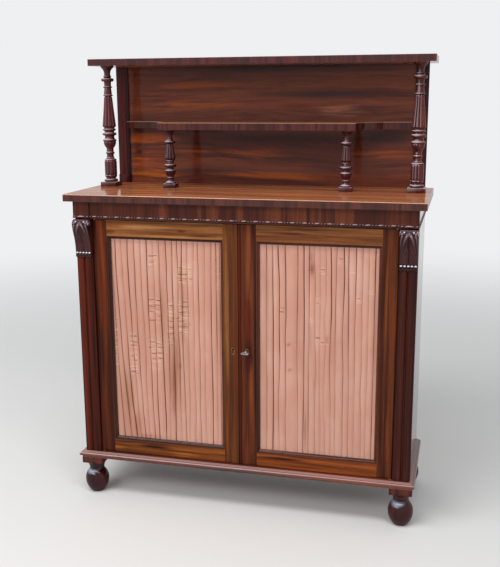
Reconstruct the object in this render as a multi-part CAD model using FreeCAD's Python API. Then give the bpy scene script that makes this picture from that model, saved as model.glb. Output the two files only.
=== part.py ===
import FreeCAD, Part

import math
import os

# Chiffonier: a two-door side cabinet with a shelved gallery above its deck.
# Millimetres, +Z up, front towards -Y. The origin is on the floor, under the middle of the deck.

V = FreeCAD.Vector

# ---------------------------------------------------------------- driving dimensions

# deck, the cabinet's top board
deck_w = 1090.0
deck_d = 406.0
deck_t = 22.0
deck_edge_round = 1.5
deck_over_front = 28.5     # how far the deck stands out over the pilasters
deck_over_back = 28.0      # and over the back boards
deck_over_side = 22.0      # and over the sides

# feet and base
foot_block_w = 69.0
foot_block_h = 21.0
foot_turned_h = 105.0
foot_inset = 25.5          # foot's axis behind the carcass's faces, at the front and sides
foot_ball_r = 38.0
foot_ball_low_h = 47.0     # floor to the ball's widest point
foot_ball_high_h = 29.0    # and from there to the neck
foot_sole_r = 20.0
foot_neck_r = 23.0
foot_dowel_r = 12.0
foot_dowel_h = 16.0
base_t = 20.0
base_front_w = 80.0
base_rear_w = 60.0
base_side_w = 60.0
plinth_out = 15.5          # how far the plinth moulding's nose stands out

# carcass
carcass_h = 820.0
side_t = 20.0
pilaster_w = 52.0
post_t = 32.0              # pilaster from its reeds' crests to its back
reed_depth = 6.5
reed_quirk = 1.6           # flat between and beside the reeds
bottom_t = 16.0
back_t = 10.0
back_rebate = 8.0
back_board_count = 3
top_rail_drop = 57.0       # underside of the front top rail below the deck
top_rail_back = 74.0       # back of the front top rail behind the pilasters' faces
rear_rail_h = 20.0
rear_rail_w = 60.0
shelf_h = 366.0            # inner shelf's underside above the base
shelf_t = 16.0
shelf_setback = 16.0       # inner shelf's front edge behind the doors
bearer_w = 20.0
bearer_h = 22.0

# frieze, its end blocks and the bead-and-reel moulding
frieze_h = 53.0
frieze_t = 12.0
frieze_out = 4.0           # frieze in front of the pilasters' faces
block_out = 8.0            # end blocks in front of the pilasters' faces
bead_r = 3.7
bead_len = 18.0            # long bead
reel_r = 3.1
reel_len = 5.2             # each of the two round reels between long beads
bead_gap = 2.2
bead_core_r = 1.7
bead_strip_t = 1.2         # flat strip that the beads are cut from
bead_strip_h = 6.2
bead_above_edge = 4.2      # moulding's axis above the frieze's lower edge

# corbels
corbel_h = 120.0
corbel_side_inset = 0.5
corbel_out = 21.0          # scroll in front of the pilasters' faces
corbel_foot_out = 1.5      # and the collar at the bottom
corbel_top_gap = 4.0       # corbel's top below the frieze block
corbel_bead_r = 4.4
corbel_bead_count = 5
corbel_collar_h = 14.0

# doors
door_setback = 10.0        # door faces behind the pilasters' faces
door_t = 22.0
door_side_gap = 0.8
door_top_gap = 2.0
door_bottom_gap = 2.0
door_meet_gap = 1.6
door_stop_gap = 1.5
hinge_stile_w = 47.7
meet_half = 51.5           # middle of the cabinet to the inner edge of each meeting stile
door_top_rail_w = 49.0
door_bottom_rail_w = 43.0
tenon_len = 28.0
tenon_t = 7.0
tenon_edge = 16.0          # tenons inside the door's ends
tenon_inner = 4.0          # and inside the opening
panel_mould_w = 9.0
panel_mould_t = 10.0
panel_mould_lip = 2.0
panel_mould_flat = 2.0
silk_pleat_depth = 3.0
silk_pleat_count = 23
silk_gap = 0.3
backboard_t = 6.0
astragal_w = 9.0
astragal_out = 3.5

# pivot hinges
pivot_inset = 6.5          # pivot behind the door's face and in from its edge
pin_r = 3.0
pin_len = 9.0
pin_fit = 0.06             # radial clearance of the pins in their plates
pin_hole_relief = 0.5      # wider hole in the wood under the plate
collar_r = 5.5
collar_gap = 0.05
plate_t = 2.5
plate_w = 12.0
plate_in = 38.0            # plate's length from the pivot; its outer end is round about the pivot
plate_screw_steps = (14.0, 30.0)

# screws
screw_r = 1.6
screw_head_r = 3.2
screw_head_h = 1.6
screw_len = 14.0
short_screw_len = 7.0
screw_fit = 0.05

# lock, key and keyholes
lock_z = 374.0             # key's axis above the base
key_x = 22.0               # keyholes each side of the middle
lock_plate_t = 1.5
lock_plate_w = 50.0
lock_plate_h = 64.0
lock_box_w = 44.0
lock_box_h = 46.0
lock_box_d = 11.0
bolt_h = 12.0
bolt_t = 6.0
bolt_above_key = 6.0
bolt_len = 40.0
bolt_travel = 8.0
bolt_sunk = 0.3            # bolt's head behind the lock's edge plate at rest
bolt_fit = 0.3
strike_t = 1.5
strike_h = 34.0
strike_w = 12.0
key_r = 2.6
key_out = 38.0             # key's bow in front of the door's face
key_bit_r = 9.0
key_bit_t = 2.0
key_bit_w = 6.0
key_tip_fit = 0.06
bow_w = 25.0
bow_len = 18.0
bow_t = 3.4
bow_rim = 4.2
keyhole_r = 3.5
keyhole_slot_w = 3.4
keyhole_slot_len = 13.0
escutcheon_rim = 2.4
escutcheon_t = 2.4
escutcheon_proud = 0.4
blind_depth = 8.0

# barrel bolts on the left door
barrel_x = 28.8            # bolt rods' distance from the middle
rod_r = 3.5
rod_len = 70.0
rod_fit = 0.06
rod_travel = 10.0
rod_sunk = 0.5             # rod's tip inside the door's edge at rest
rod_hole_relief = 0.5
rod_standoff = 5.5         # rod's axis behind the door's back
barrel_plate_t = 1.5
barrel_plate_w = 26.0
barrel_plate_h = 80.0
barrel_edge = 2.0          # plate's end inside the door's edge
keep_w = 16.0
keep_h = 10.0
keep_d = 9.0
keep_edge = 5.0            # keeps inside the plate's ends
knob_r = 3.0
knob_len = 8.0
knob_from_tip = 42.0
notch_room = 2.0

# gallery
gallery_h = 385.0          # deck to the underside of the top board
top_board_t = 21.0
gallery_d = 183.0          # top board, back to front
gallery_back_t = 11.0
gallery_back_inset = 26.0  # back panel's ends inside the deck's ends
rear_pilaster_w = 41.0
rear_pilaster_t = 9.0
rear_reed_depth = 4.0
rear_foot_h = 27.0
rear_foot_out = 1.2
column_inset = 46.0        # tall columns' axes inside the top board's front and ends
column_block_w = 54.0
column_block_h = 14.0
mid_shelf_t = 23.0
mid_shelf_z = 208.0        # mid shelf's upper face above the deck
mid_shelf_half = 315.0     # half-width of the deep centre
mid_shelf_end_d = 35.0     # depth of the shallow ends
mid_shelf_sweep = 70.0     # width of each hollow return
mid_shelf_end_gap = 4.0    # shelf's ends inside the rear pilasters
small_inset = 30.0         # small columns' axes inside the deep centre's front and ends
small_block_w = 40.0
small_block_h = 13.0
dowel_r = 8.0
dowel_h = 12.0
dowel_fit = 0.05
dowel_room = 0.5           # hole deeper than the dowel

# ---------------------------------------------------------------- levels and faces worked out

base_z = foot_turned_h + foot_block_h
floor_z = base_z + base_t                  # top of the base frame, where the carcass stands
deck_z = floor_z + carcass_h               # underside of the deck
deck_top = deck_z + deck_t
deck_front = -deck_d / 2
deck_back = deck_d / 2
face_y = deck_front + deck_over_front      # pilasters' faces
rear_y = deck_back - deck_over_back        # carcass's back
half_w = deck_w / 2 - deck_over_side       # carcass's half-width
post_back = face_y + post_t
inner_half = half_w - side_t
post_inner = half_w - pilaster_w
frieze_z = deck_z - frieze_h
rail_z = deck_z - top_rail_drop
rail_back = face_y + top_rail_back
frieze_back = face_y - frieze_out + frieze_t
board_front = rear_y - back_t              # front face of the back boards

door_y = face_y + door_setback
door_back = door_y + door_t
door_z0 = floor_z + door_bottom_gap
door_z1 = rail_z - door_top_gap
door_hinge_x = post_inner - door_side_gap
pivot_x = door_hinge_x - pivot_inset
pivot_y = door_y + pivot_inset
open_x1 = door_hinge_x - hinge_stile_w     # door frame's opening, outer edge
open_z0 = door_z0 + door_bottom_rail_w
open_z1 = door_z1 - door_top_rail_w
right_free_x = -astragal_w / 2
left_free_x = right_free_x - door_meet_gap
key_z = floor_z + lock_z
rod_y = door_back + rod_standoff

gallery_front = deck_back - gallery_d
gallery_face = deck_back - gallery_back_t  # front of the back panel
gallery_half = deck_w / 2 - gallery_back_inset
top_board_z = deck_top + gallery_h
column_x = deck_w / 2 - column_inset
column_y = gallery_front + column_inset
shelf_top = deck_top + mid_shelf_z
shelf_low = shelf_top - mid_shelf_t
small_x = mid_shelf_half - small_inset
small_y = gallery_front + small_inset
rear_pilaster_x = gallery_half - rear_pilaster_w

SIDES = ((-1, "left"), (1, "right"))


# ---------------------------------------------------------------- helpers

def block(x0, x1, y0, y1, z0, z1):
    """A plain box between two limits on each axis, given in either order."""
    low = V(min(x0, x1), min(y0, y1), min(z0, z1))
    return Part.makeBox(abs(x1 - x0), abs(y1 - y0), abs(z1 - z0), low)


def rod(radius, start, end):
    """A round bar from one point to another."""
    along = end - start
    return Part.makeCylinder(radius, along.Length, start, along)


def prism(edges, travel):
    """A closed run of edges, filled and pushed along a vector."""
    return Part.Face(Part.Wire(edges)).extrude(travel)


def polygon(points, travel):
    """A straight-sided outline, filled and pushed along a vector."""
    return Part.Face(Part.makePolygon(points + [points[0]])).extrude(travel)


def line(start, end):
    return Part.LineSegment(start, end).toShape()


def arc(start, middle, end):
    return Part.Arc(start, middle, end).toShape()


def group(shapes):
    return Part.makeCompound(shapes)


def mirrored(shape):
    """The same piece for the other side of the cabinet."""
    return shape.mirror(V(0, 0, 0), V(1, 0, 0))


def turned(members, start_r, total_h, x, y, z):
    """A turned piece from a list of members, bottom to top.

    (height, end radius) is a straight member, and (height, middle radius, end radius) a bead or a
    hollow. A height of None takes whatever is left of the total height.
    """
    fixed = sum(m[0] for m in members if m[0] is not None)
    r, h = start_r, 0.0
    edges = [line(V(0, 0, 0), V(r, 0, 0))]
    for member in members:
        rise = total_h - fixed if member[0] is None else member[0]
        end = V(member[-1], 0, h + rise)
        if len(member) == 2:
            edges.append(line(V(r, 0, h), end))
        else:
            edges.append(arc(V(r, 0, h), V(member[1], 0, h + rise / 2), end))
        r, h = end.x, end.z
    edges.append(line(V(r, 0, h), V(0, 0, h)))
    edges.append(line(V(0, 0, h), V(0, 0, 0)))
    piece = Part.Face(Part.Wire(edges)).revolve(V(0, 0, 0), V(0, 0, 1), 360)
    piece.translate(V(x, y, z))
    return piece


def reeded_edges(x0, x1, y_crest, depth, y_back, z):
    """Plan outline of a strip with two broad reeds on its front, between x0 and x1."""
    reed_w = (x1 - x0 - 3 * reed_quirk) / 2
    y_low = y_crest + depth
    points = [V(x0, y_low, z)]
    edges = []
    x = x0
    for _ in range(2):
        edges.append(line(V(x, y_low, z), V(x + reed_quirk, y_low, z)))
        x += reed_quirk
        edges.append(arc(V(x, y_low, z), V(x + reed_w / 2, y_crest, z), V(x + reed_w, y_low, z)))
        x += reed_w
    edges.append(line(V(x, y_low, z), V(x1, y_low, z)))
    edges.append(line(V(x1, y_low, z), V(x1, y_back, z)))
    edges.append(line(V(x1, y_back, z), V(x0, y_back, z)))
    edges.append(line(V(x0, y_back, z), points[0]))
    return edges


def screw(point, direction, fit=0.0, length=screw_len):
    """Countersunk screw driven from point along direction. With a fit, the hole it goes into."""
    head = Part.makeCone(screw_head_r + fit, screw_r + fit, screw_head_h, point, direction)
    return head.fuse(Part.makeCylinder(screw_r + fit, length + fit, point, direction))


def short_screw(point, direction, fit=0.0):
    return screw(point, direction, fit, short_screw_len)


def keyhole(x, y0, y1, grow=0.0):
    """A keyhole's shape between two depths: a round with a slot below it."""
    hole = rod(keyhole_r + grow, V(x, y0, key_z), V(x, y1, key_z))
    half = keyhole_slot_w / 2 + grow
    return hole.fuse(block(x - half, x + half, y0, y1, key_z - keyhole_slot_len - grow, key_z))


def save(node, shape):
    shape.exportStep(os.path.join("parts", node + ".step"))


os.makedirs("parts", exist_ok=True)


# ---------------------------------------------------------------- feet

foot_members = [
    (foot_ball_low_h, (foot_sole_r + foot_ball_r) / 2 + 6.0, foot_ball_r),
    (foot_ball_high_h, (foot_neck_r + foot_ball_r) / 2 + 3.6, foot_neck_r - 1.0),
    (3.0, foot_neck_r + 1.5, foot_neck_r),
    (None, foot_neck_r + 3.2, foot_block_w / 2 - 1.5),
]
foot_y = {"front": face_y + foot_inset, "rear": rear_y - foot_block_w / 2}
foot_x = half_w - foot_inset


def foot(x, y):
    piece = turned(foot_members, foot_sole_r, foot_turned_h, x, y, 0)
    half = foot_block_w / 2
    piece = piece.fuse(block(x - half, x + half, y - half, y + half, foot_turned_h, base_z))
    return piece.fuse(rod(foot_dowel_r, V(x, y, base_z), V(x, y, base_z + foot_dowel_h)))


for sign, side in SIDES:
    for end in ("front", "rear"):
        save("foot_%s_%s" % (end, side), foot(sign * foot_x, foot_y[end]))


# ---------------------------------------------------------------- base frame and plinth moulding

def plate_block(sign, z0, z1):
    """The room of one pivot plate, or the plate itself, with a round end about the pivot."""
    x0 = sign * pivot_x
    bar = block(x0, x0 - sign * plate_in, pivot_y - plate_w / 2, pivot_y + plate_w / 2, z0, z1)
    return bar.fuse(rod(plate_w / 2, V(x0, pivot_y, z0), V(x0, pivot_y, z1)))


def plate_screw_points(sign, z):
    return [V(sign * (pivot_x - step), pivot_y, z) for step in plate_screw_steps]


def rod_axis(z):
    return V(-barrel_x, rod_y, z)


base_front = face_y + base_front_w
base_rear = rear_y - base_rear_w
base_rails = [
    block(-half_w, half_w, face_y, base_front, base_z, floor_z),
    block(-half_w, half_w, base_rear, rear_y, base_z, floor_z),
    block(-half_w, -half_w + base_side_w, base_front, base_rear, base_z, floor_z),
    block(half_w - base_side_w, half_w, base_front, base_rear, base_z, floor_z),
]
base_cuts = []
for sign, side in SIDES:
    for y in foot_y.values():
        foot_top = V(sign * foot_x, y, base_z)
        dowel_top = foot_top + V(0, 0, foot_dowel_h + dowel_room)
        base_cuts.append(rod(foot_dowel_r + dowel_fit, foot_top, dowel_top))
    pin_room = V(sign * pivot_x, pivot_y, floor_z)
    base_cuts.append(plate_block(sign, floor_z - plate_t, floor_z))
    base_cuts.append(rod(pin_r + pin_hole_relief, pin_room - V(0, 0, pin_len + dowel_room), pin_room))
    for point in plate_screw_points(sign, floor_z):
        base_cuts.append(screw(point, V(0, 0, -1), screw_fit))
rod_room = rod_travel + dowel_room
base_cuts.append(rod(rod_r + rod_hole_relief, rod_axis(floor_z - rod_room), rod_axis(floor_z)))
base_rails[0] = base_rails[0].cut(group(base_cuts))
base_rails[1] = base_rails[1].cut(group(base_cuts))
save("base_frame", group(base_rails))

plinth_slope_out = plinth_out * 0.55
plinth_slope_drop = 3.5
plinth_nose_drop = 15.0


def plinth_profile(at):
    """Moulding's section: a sloped top, a round nose and a hollow below it.

    at(out, z) gives the point that stands out from the carcass by out, at height z.
    """
    nose_mid = floor_z - plinth_slope_drop - (plinth_nose_drop - plinth_slope_drop) / 2
    nose_low = floor_z - plinth_nose_drop
    return [
        line(at(0, floor_z), at(plinth_slope_out, floor_z - plinth_slope_drop)),
        arc(at(plinth_slope_out, floor_z - plinth_slope_drop), at(plinth_out, nose_mid),
            at(plinth_slope_out, nose_low)),
        line(at(plinth_slope_out, nose_low), at(plinth_slope_out, base_z)),
        line(at(plinth_slope_out, base_z), at(0, base_z)),
        line(at(0, base_z), at(0, floor_z)),
    ]


def mitre_wedge(sign):
    """Everything outside the mitre plane at a front corner, on the side's half."""
    corner = V(sign * half_w, face_y, 0)
    reach = 3 * plinth_out
    outer = corner + V(sign * reach, -reach, 0)
    return polygon([corner, outer, outer + V(0, reach + deck_d, 0), corner + V(0, deck_d, 0)],
                   V(0, 0, deck_z))


front_edges = plinth_profile(lambda out, z: V(-half_w - plinth_out, face_y - out, z))
plinth_front = prism(front_edges, V(2 * (half_w + plinth_out), 0, 0))
plinth_sides = []
for sign, side in SIDES:
    wedge = mitre_wedge(sign)
    edges = plinth_profile(lambda out, z: V(sign * (half_w + out), face_y - plinth_out, z))
    run = prism(edges, V(0, rear_y - face_y + plinth_out, 0))
    plinth_sides.append(run.common(wedge))
    plinth_front = plinth_front.cut(wedge)
save("plinth_moulding", group([plinth_front] + plinth_sides))


# ---------------------------------------------------------------- carcass

notch_x0 = -barrel_x - barrel_plate_w / 2 - notch_room
notch_x1 = -barrel_x + barrel_plate_w / 2 + notch_room
bottom_front = door_back + door_stop_gap
bottom_board = block(-inner_half, inner_half, bottom_front, board_front, floor_z, floor_z + bottom_t)
bottom_notch = block(notch_x0, notch_x1, bottom_front, door_back + keep_d + barrel_plate_t + notch_room,
                     floor_z, floor_z + bottom_t)
save("bottom_board", bottom_board.cut(bottom_notch))

side_rebate_x = inner_half + back_rebate
for sign, side in SIDES:
    panel = block(sign * inner_half, sign * half_w, post_back, rear_y, floor_z, deck_z)
    panel = panel.cut(block(sign * inner_half, sign * side_rebate_x, board_front, rear_y, floor_z, deck_z))
    save("side_" + side, panel)

board_w = 2 * side_rebate_x / back_board_count
back_boards = []
for index in range(back_board_count):
    x0 = -side_rebate_x + index * board_w
    back_boards.append(block(x0, x0 + board_w, board_front, rear_y, floor_z, deck_z))
save("back_boards", group(back_boards))

corbel_top = frieze_z - corbel_top_gap
corbel_low = corbel_top - corbel_h
plain_y = face_y + reed_depth              # plain face behind the reeds and the corbels


def pilaster():
    """Front post: reeded below the corbel, plain behind it."""
    reeds = prism(reeded_edges(post_inner, half_w, face_y, reed_depth, post_back, floor_z),
                  V(0, 0, corbel_low - floor_z))
    return reeds.fuse(block(post_inner, half_w, plain_y, post_back, corbel_low, deck_z)).removeSplitter()


def corbel():
    """Console bracket: a scroll at the top, a tapering body, a row of beads and a collar."""
    x0 = post_inner + corbel_side_inset
    x1 = half_w - corbel_side_inset
    scroll_y = face_y - corbel_out
    foot_out_y = face_y - corbel_foot_out
    row_z = corbel_low + corbel_collar_h + corbel_bead_r
    neck_z = row_z + corbel_bead_r
    collar_z = row_z - corbel_bead_r
    top = V(x0, scroll_y + 10.0, corbel_top)
    brow = V(x0, scroll_y, corbel_top - 13.0)
    waist = V(x0, scroll_y + 11.5, corbel_top - 54.0)
    neck = V(x0, foot_out_y, neck_z)
    edges = [
        line(V(x0, plain_y, corbel_top), top),
        arc(top, V(x0, scroll_y + 2.5, corbel_top - 4.5), brow),
        arc(brow, V(x0, scroll_y + 3.5, corbel_top - 32.0), waist),
        arc(waist, V(x0, foot_out_y - 2.6, (neck_z + waist.z) / 2), neck),
        line(neck, V(x0, foot_out_y, collar_z)),
        line(V(x0, foot_out_y, collar_z), V(x0, foot_out_y - 2.0, collar_z - 3.0)),
        line(V(x0, foot_out_y - 2.0, collar_z - 3.0), V(x0, foot_out_y + 3.0, corbel_low)),
        line(V(x0, foot_out_y + 3.0, corbel_low), V(x0, plain_y, corbel_low)),
        line(V(x0, plain_y, corbel_low), V(x0, plain_y, corbel_top)),
    ]
    body = prism(edges, V(x1 - x0, 0, 0))
    step = (x1 - x0) / corbel_bead_count
    for index in range(corbel_bead_count):
        centre = V(x0 + (index + 0.5) * step, foot_out_y + 0.5, row_z)
        body = body.fuse(Part.makeSphere(corbel_bead_r, centre))
    return body


def frieze_block():
    return block(post_inner, half_w, face_y - block_out, plain_y, frieze_z, deck_z)


for maker, name in ((pilaster, "pilaster"), (corbel, "corbel")):
    piece = maker()
    save(name + "_right", piece)
    save(name + "_left", mirrored(piece))
end_block = frieze_block()
save("frieze_blocks", group([mirrored(end_block), end_block]))
save("frieze", block(-post_inner, post_inner, face_y - frieze_out, frieze_back, frieze_z, deck_z))

front_rail = block(-post_inner, post_inner, frieze_back, rail_back, rail_z, deck_z)
front_rail = front_rail.fuse(block(-inner_half, inner_half, post_back, rail_back, rail_z, deck_z))
front_rail = front_rail.removeSplitter()
rail_cuts = [rod(rod_r + rod_hole_relief, rod_axis(rail_z), rod_axis(rail_z + rod_room))]
for sign, side in SIDES:
    pin_room = V(sign * pivot_x, pivot_y, rail_z)
    rail_cuts.append(plate_block(sign, rail_z, rail_z + plate_t))
    rail_cuts.append(rod(pin_r + pin_hole_relief, pin_room, pin_room + V(0, 0, pin_len + dowel_room)))
    for point in plate_screw_points(sign, rail_z):
        rail_cuts.append(screw(point, V(0, 0, 1), screw_fit))
front_rail = front_rail.cut(group(rail_cuts))
rear_rail = block(-inner_half, inner_half, board_front - rear_rail_w, board_front,
                  deck_z - rear_rail_h, deck_z)
save("top_rails", group([front_rail, rear_rail]))

shelf_z = floor_z + shelf_h
shelf_front = door_back + shelf_setback
save("inner_shelf", block(-inner_half, inner_half, shelf_front, board_front, shelf_z, shelf_z + shelf_t))
bearers = []
for sign, side in SIDES:
    bearers.append(block(sign * (inner_half - bearer_w), sign * inner_half, shelf_front, board_front,
                         shelf_z - bearer_h, shelf_z))
save("shelf_bearers", group(bearers))


# ---------------------------------------------------------------- bead-and-reel moulding

def bead_strip(length):
    """Flat strip with long half-round beads and two reels between them, along +X from the origin.

    The beads stand out towards -Y, and the pattern is centred on the length.
    """
    period = bead_len + 2 * reel_len + 3 * bead_gap
    count = max(1, int(round(length / period)))
    fit = length / (count * period)
    x = 0.0
    r = bead_core_r
    edges = [line(V(0, 0, 0), V(0, -r, 0))]

    def straight(run):
        nonlocal x
        edges.append(line(V(x, -r, 0), V(x + run, -r, 0)))
        x += run

    def swell(run, height):
        nonlocal x
        edges.append(arc(V(x, -r, 0), V(x + run / 2, -height, 0), V(x + run, -r, 0)))
        x += run

    for _ in range(count):
        straight(bead_gap * fit / 2)
        swell(reel_len * fit, reel_r)
        straight(bead_gap * fit)
        swell(bead_len * fit, bead_r)
        straight(bead_gap * fit)
        swell(reel_len * fit, reel_r)
        straight(bead_gap * fit / 2)
    edges.append(line(V(x, -r, 0), V(x, 0, 0)))
    edges.append(line(V(x, 0, 0), V(0, 0, 0)))
    half = Part.Face(Part.Wire(edges)).revolve(V(0, 0, 0), V(1, 0, 0), 180)
    half.rotate(V(0, 0, 0), V(1, 0, 0), -90)
    return half.fuse(block(0, length, -bead_strip_t, 0, -bead_strip_h / 2, bead_strip_h / 2))


bead_z = frieze_z + bead_above_edge
strips = []
centre_strip = bead_strip(2 * post_inner)
centre_strip.translate(V(-post_inner, face_y - frieze_out, bead_z))
strips.append(centre_strip)
end_strip = bead_strip(pilaster_w)
end_strip.translate(V(post_inner, face_y - block_out, bead_z))
side_strip = bead_strip(rear_y - face_y + block_out)
side_strip.rotate(V(0, 0, 0), V(0, 0, 1), 90)
side_strip.translate(V(half_w, face_y - block_out, bead_z))
for strip in (end_strip, side_strip):
    strips.append(strip)
    strips.append(mirrored(strip))
save("bead_moulding", group(strips))


# ---------------------------------------------------------------- doors

def tenon(rail_end, sign_out, top):
    """Tenon on the top or bottom rail's end, or the mortise that takes it."""
    y0 = door_y + (door_t - tenon_t) / 2
    z0, z1 = door_z0 + tenon_edge, open_z0 - tenon_inner
    if top:
        z0, z1 = open_z1 + tenon_inner, door_z1 - tenon_edge
    return block(rail_end, rail_end + sign_out * tenon_len, y0, y0 + tenon_t, z0, z1)


def hinge_stile():
    """Right door's hinge stile: its outer front edge is rounded about the pivot."""
    x0, x1 = open_x1, door_hinge_x
    r = pivot_inset
    bend = r * (1 - math.sqrt(0.5))
    edges = [
        line(V(x0, door_y, door_z0), V(x1 - r, door_y, door_z0)),
        arc(V(x1 - r, door_y, door_z0), V(x1 - bend, door_y + bend, door_z0), V(x1, door_y + r, door_z0)),
        line(V(x1, door_y + r, door_z0), V(x1, door_back, door_z0)),
        line(V(x1, door_back, door_z0), V(x0, door_back, door_z0)),
        line(V(x0, door_back, door_z0), V(x0, door_y, door_z0)),
    ]
    cuts = [
        tenon(open_x1, 1, False),
        tenon(open_x1, 1, True),
        plate_block(1, door_z0, door_z0 + plate_t),
        plate_block(1, door_z1 - plate_t, door_z1),
    ]
    for point in plate_screw_points(1, door_z0):
        cuts.append(screw(point, V(0, 0, 1), screw_fit))
    for point in plate_screw_points(1, door_z1):
        cuts.append(screw(point, V(0, 0, -1), screw_fit))
    return prism(edges, V(0, 0, door_z1 - door_z0)).cut(group(cuts))


def door_plates(sign):
    """Both pivot plates of a door, each with a thrust collar and a pin."""
    plates = []
    for edge_z, out in ((door_z0, -1), (door_z1, 1)):
        gap = door_bottom_gap if out < 0 else door_top_gap
        axis = V(sign * pivot_x, pivot_y, edge_z)
        plate = plate_block(sign, edge_z, edge_z - out * plate_t)
        for point in plate_screw_points(sign, edge_z):
            plate = plate.cut(screw(point, V(0, 0, -out), screw_fit))
        plate = plate.fuse(rod(collar_r, axis, axis + V(0, 0, out * (gap - collar_gap))))
        plates.append(plate.fuse(rod(pin_r, axis, axis + V(0, 0, out * (gap + pin_len)))))
    return group(plates)


def frame_plates():
    """The four plates in the base and the top rail that take the doors' pins."""
    plates = []
    for sign, side in SIDES:
        for edge_z, into in ((floor_z, -1), (rail_z, 1)):
            axis = V(sign * pivot_x, pivot_y, edge_z)
            plate = plate_block(sign, edge_z, edge_z + into * plate_t)
            plate = plate.cut(rod(pin_r + pin_fit, axis, axis + V(0, 0, into * plate_t)))
            for point in plate_screw_points(sign, edge_z):
                plate = plate.cut(screw(point, V(0, 0, into), screw_fit))
            plates.append(plate)
    return group(plates)


def plate_screws(sign, levels):
    """Screws of one side's plates. levels are pairs of a height and a driving direction."""
    screws = []
    for z, into in levels:
        screws += [screw(point, V(0, 0, into)) for point in plate_screw_points(sign, z)]
    return screws


def door_rail(top):
    """Right door's top or bottom rail between its stiles, with a tenon at each end."""
    z0, z1 = (open_z1, door_z1) if top else (door_z0, open_z0)
    rail = block(meet_half, open_x1, door_y, door_back, z0, z1)
    return rail.fuse([tenon(meet_half, -1, top), tenon(open_x1, 1, top)]).removeSplitter()


def mitred_strip(start, end, inward):
    """Planted moulding from corner to corner, mitred at both ends. inward points at the silk."""
    along = end - start
    unit = along * (1.0 / along.Length)
    w = panel_mould_w
    t = panel_mould_t

    def at(across, deep):
        return start + inward * across + V(0, door_y + deep, 0)

    run = prism([
        line(at(0, 0), at(0, t)),
        line(at(0, t), at(w, t)),
        line(at(w, t), at(w, t - panel_mould_lip)),
        arc(at(w, t - panel_mould_lip), at(w * 0.55, (t - panel_mould_lip) * 0.7), at(panel_mould_flat, 0)),
        line(at(panel_mould_flat, 0), at(0, 0)),
    ], along)
    corners = [start, end, end + (inward - unit) * w, start + (inward + unit) * w]
    return run.common(polygon([corner + V(0, door_y, 0) for corner in corners], V(0, t, 0)))


def panel_moulding():
    """Four mitred strips planted round the right door's opening, sloping in to the silk."""
    low_in, low_out = V(meet_half, 0, open_z0), V(open_x1, 0, open_z0)
    high_in, high_out = V(meet_half, 0, open_z1), V(open_x1, 0, open_z1)
    return group([
        mitred_strip(low_in, low_out, V(0, 0, 1)),
        mitred_strip(high_in, high_out, V(0, 0, -1)),
        mitred_strip(low_in, high_in, V(1, 0, 0)),
        mitred_strip(low_out, high_out, V(-1, 0, 0)),
    ])


def silk_panel():
    """Right door's pleated silk against its board: a closed solid with one arc for each pleat."""
    x0 = meet_half + silk_gap
    x1 = open_x1 - silk_gap
    z0 = open_z0 + silk_gap
    front = door_y + panel_mould_t + silk_gap
    back = door_back - backboard_t
    pitch = (x1 - x0) / silk_pleat_count
    low = front + silk_pleat_depth
    edges = []
    for index in range(silk_pleat_count):
        x = x0 + index * pitch
        edges.append(arc(V(x, low, z0), V(x + pitch / 2, front, z0), V(x + pitch, low, z0)))
    edges.append(line(V(x1, low, z0), V(x1, back, z0)))
    edges.append(line(V(x1, back, z0), V(x0, back, z0)))
    edges.append(line(V(x0, back, z0), V(x0, low, z0)))
    return prism(edges, V(0, 0, open_z1 - open_z0 - 2 * silk_gap))


def backboard():
    return block(meet_half, open_x1, door_back - backboard_t, door_back, open_z0, open_z1)


door_pieces = {
    "hinge_stile": hinge_stile(),
    "top_rail": door_rail(True),
    "bottom_rail": door_rail(False),
    "panel_moulding": panel_moulding(),
    "silk": silk_panel(),
    "backboard": backboard(),
}
for name, piece in door_pieces.items():
    save("right_door_" + name, piece)
    save("left_door_" + name, mirrored(piece))
for sign, side in SIDES:
    save(side + "_door_pivot_plates", door_plates(sign))
save("carcass_pivot_plates", frame_plates())


# ---------------------------------------------------------------- lock, bolt, key and escutcheons

lock_x0 = right_free_x
lock_back = door_back
lock_front = door_back - lock_box_d
plate_y = lock_back - lock_plate_t
bolt_y0 = plate_y - bolt_fit - bolt_t
bolt_z0 = key_z + bolt_above_key
bolt_x0 = lock_x0 + bolt_sunk


lock_mid_z = key_z + bolt_above_key / 2


def lock_outline(x_end, half_h, y0, y1):
    """Block from the door's edge, centred on the lock's height."""
    return block(lock_x0, x_end, y0, y1, lock_mid_z - half_h, lock_mid_z + half_h)


lock_plate_x = lock_x0 + lock_plate_w
lock_box_x = lock_x0 + lock_box_w
lock_plate_body = lock_outline(lock_plate_x, lock_plate_h / 2, plate_y, lock_back)
lock_box_body = lock_outline(lock_box_x, lock_box_h / 2, lock_front, plate_y)
lock_edge_body = lock_outline(lock_x0 + lock_plate_t, lock_plate_h / 2, lock_front, plate_y)
lock_room = lock_plate_body.fuse([lock_box_body, lock_edge_body])

wall = lock_plate_t
cavity = block(lock_x0 + wall, lock_box_x - wall, lock_front, plate_y,
               lock_mid_z - lock_box_h / 2 + wall, lock_mid_z + lock_box_h / 2 - wall)
bolt_slot = block(lock_x0, lock_x0 + wall, bolt_y0 - bolt_fit, bolt_y0 + bolt_t + bolt_fit,
                  bolt_z0 - bolt_fit, bolt_z0 + bolt_h + bolt_fit)
tip_hole = rod(key_r + key_tip_fit, V(key_x, plate_y, key_z), V(key_x, lock_back, key_z))

lock_screw_z = (lock_plate_h + lock_box_h) / 4
lock_screw_points = []
for dx in (lock_plate_w * 0.2, lock_plate_w * 0.75):
    for dz in (-lock_screw_z, lock_screw_z):
        lock_screw_points.append(V(lock_x0 + dx, lock_back, lock_mid_z + dz))
lock_screw_holes = [short_screw(point, V(0, -1, 0), screw_fit) for point in lock_screw_points]

lock_case = lock_room.cut(group([cavity, bolt_slot, tip_hole] + lock_screw_holes))
save("lock_case", lock_case)

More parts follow.
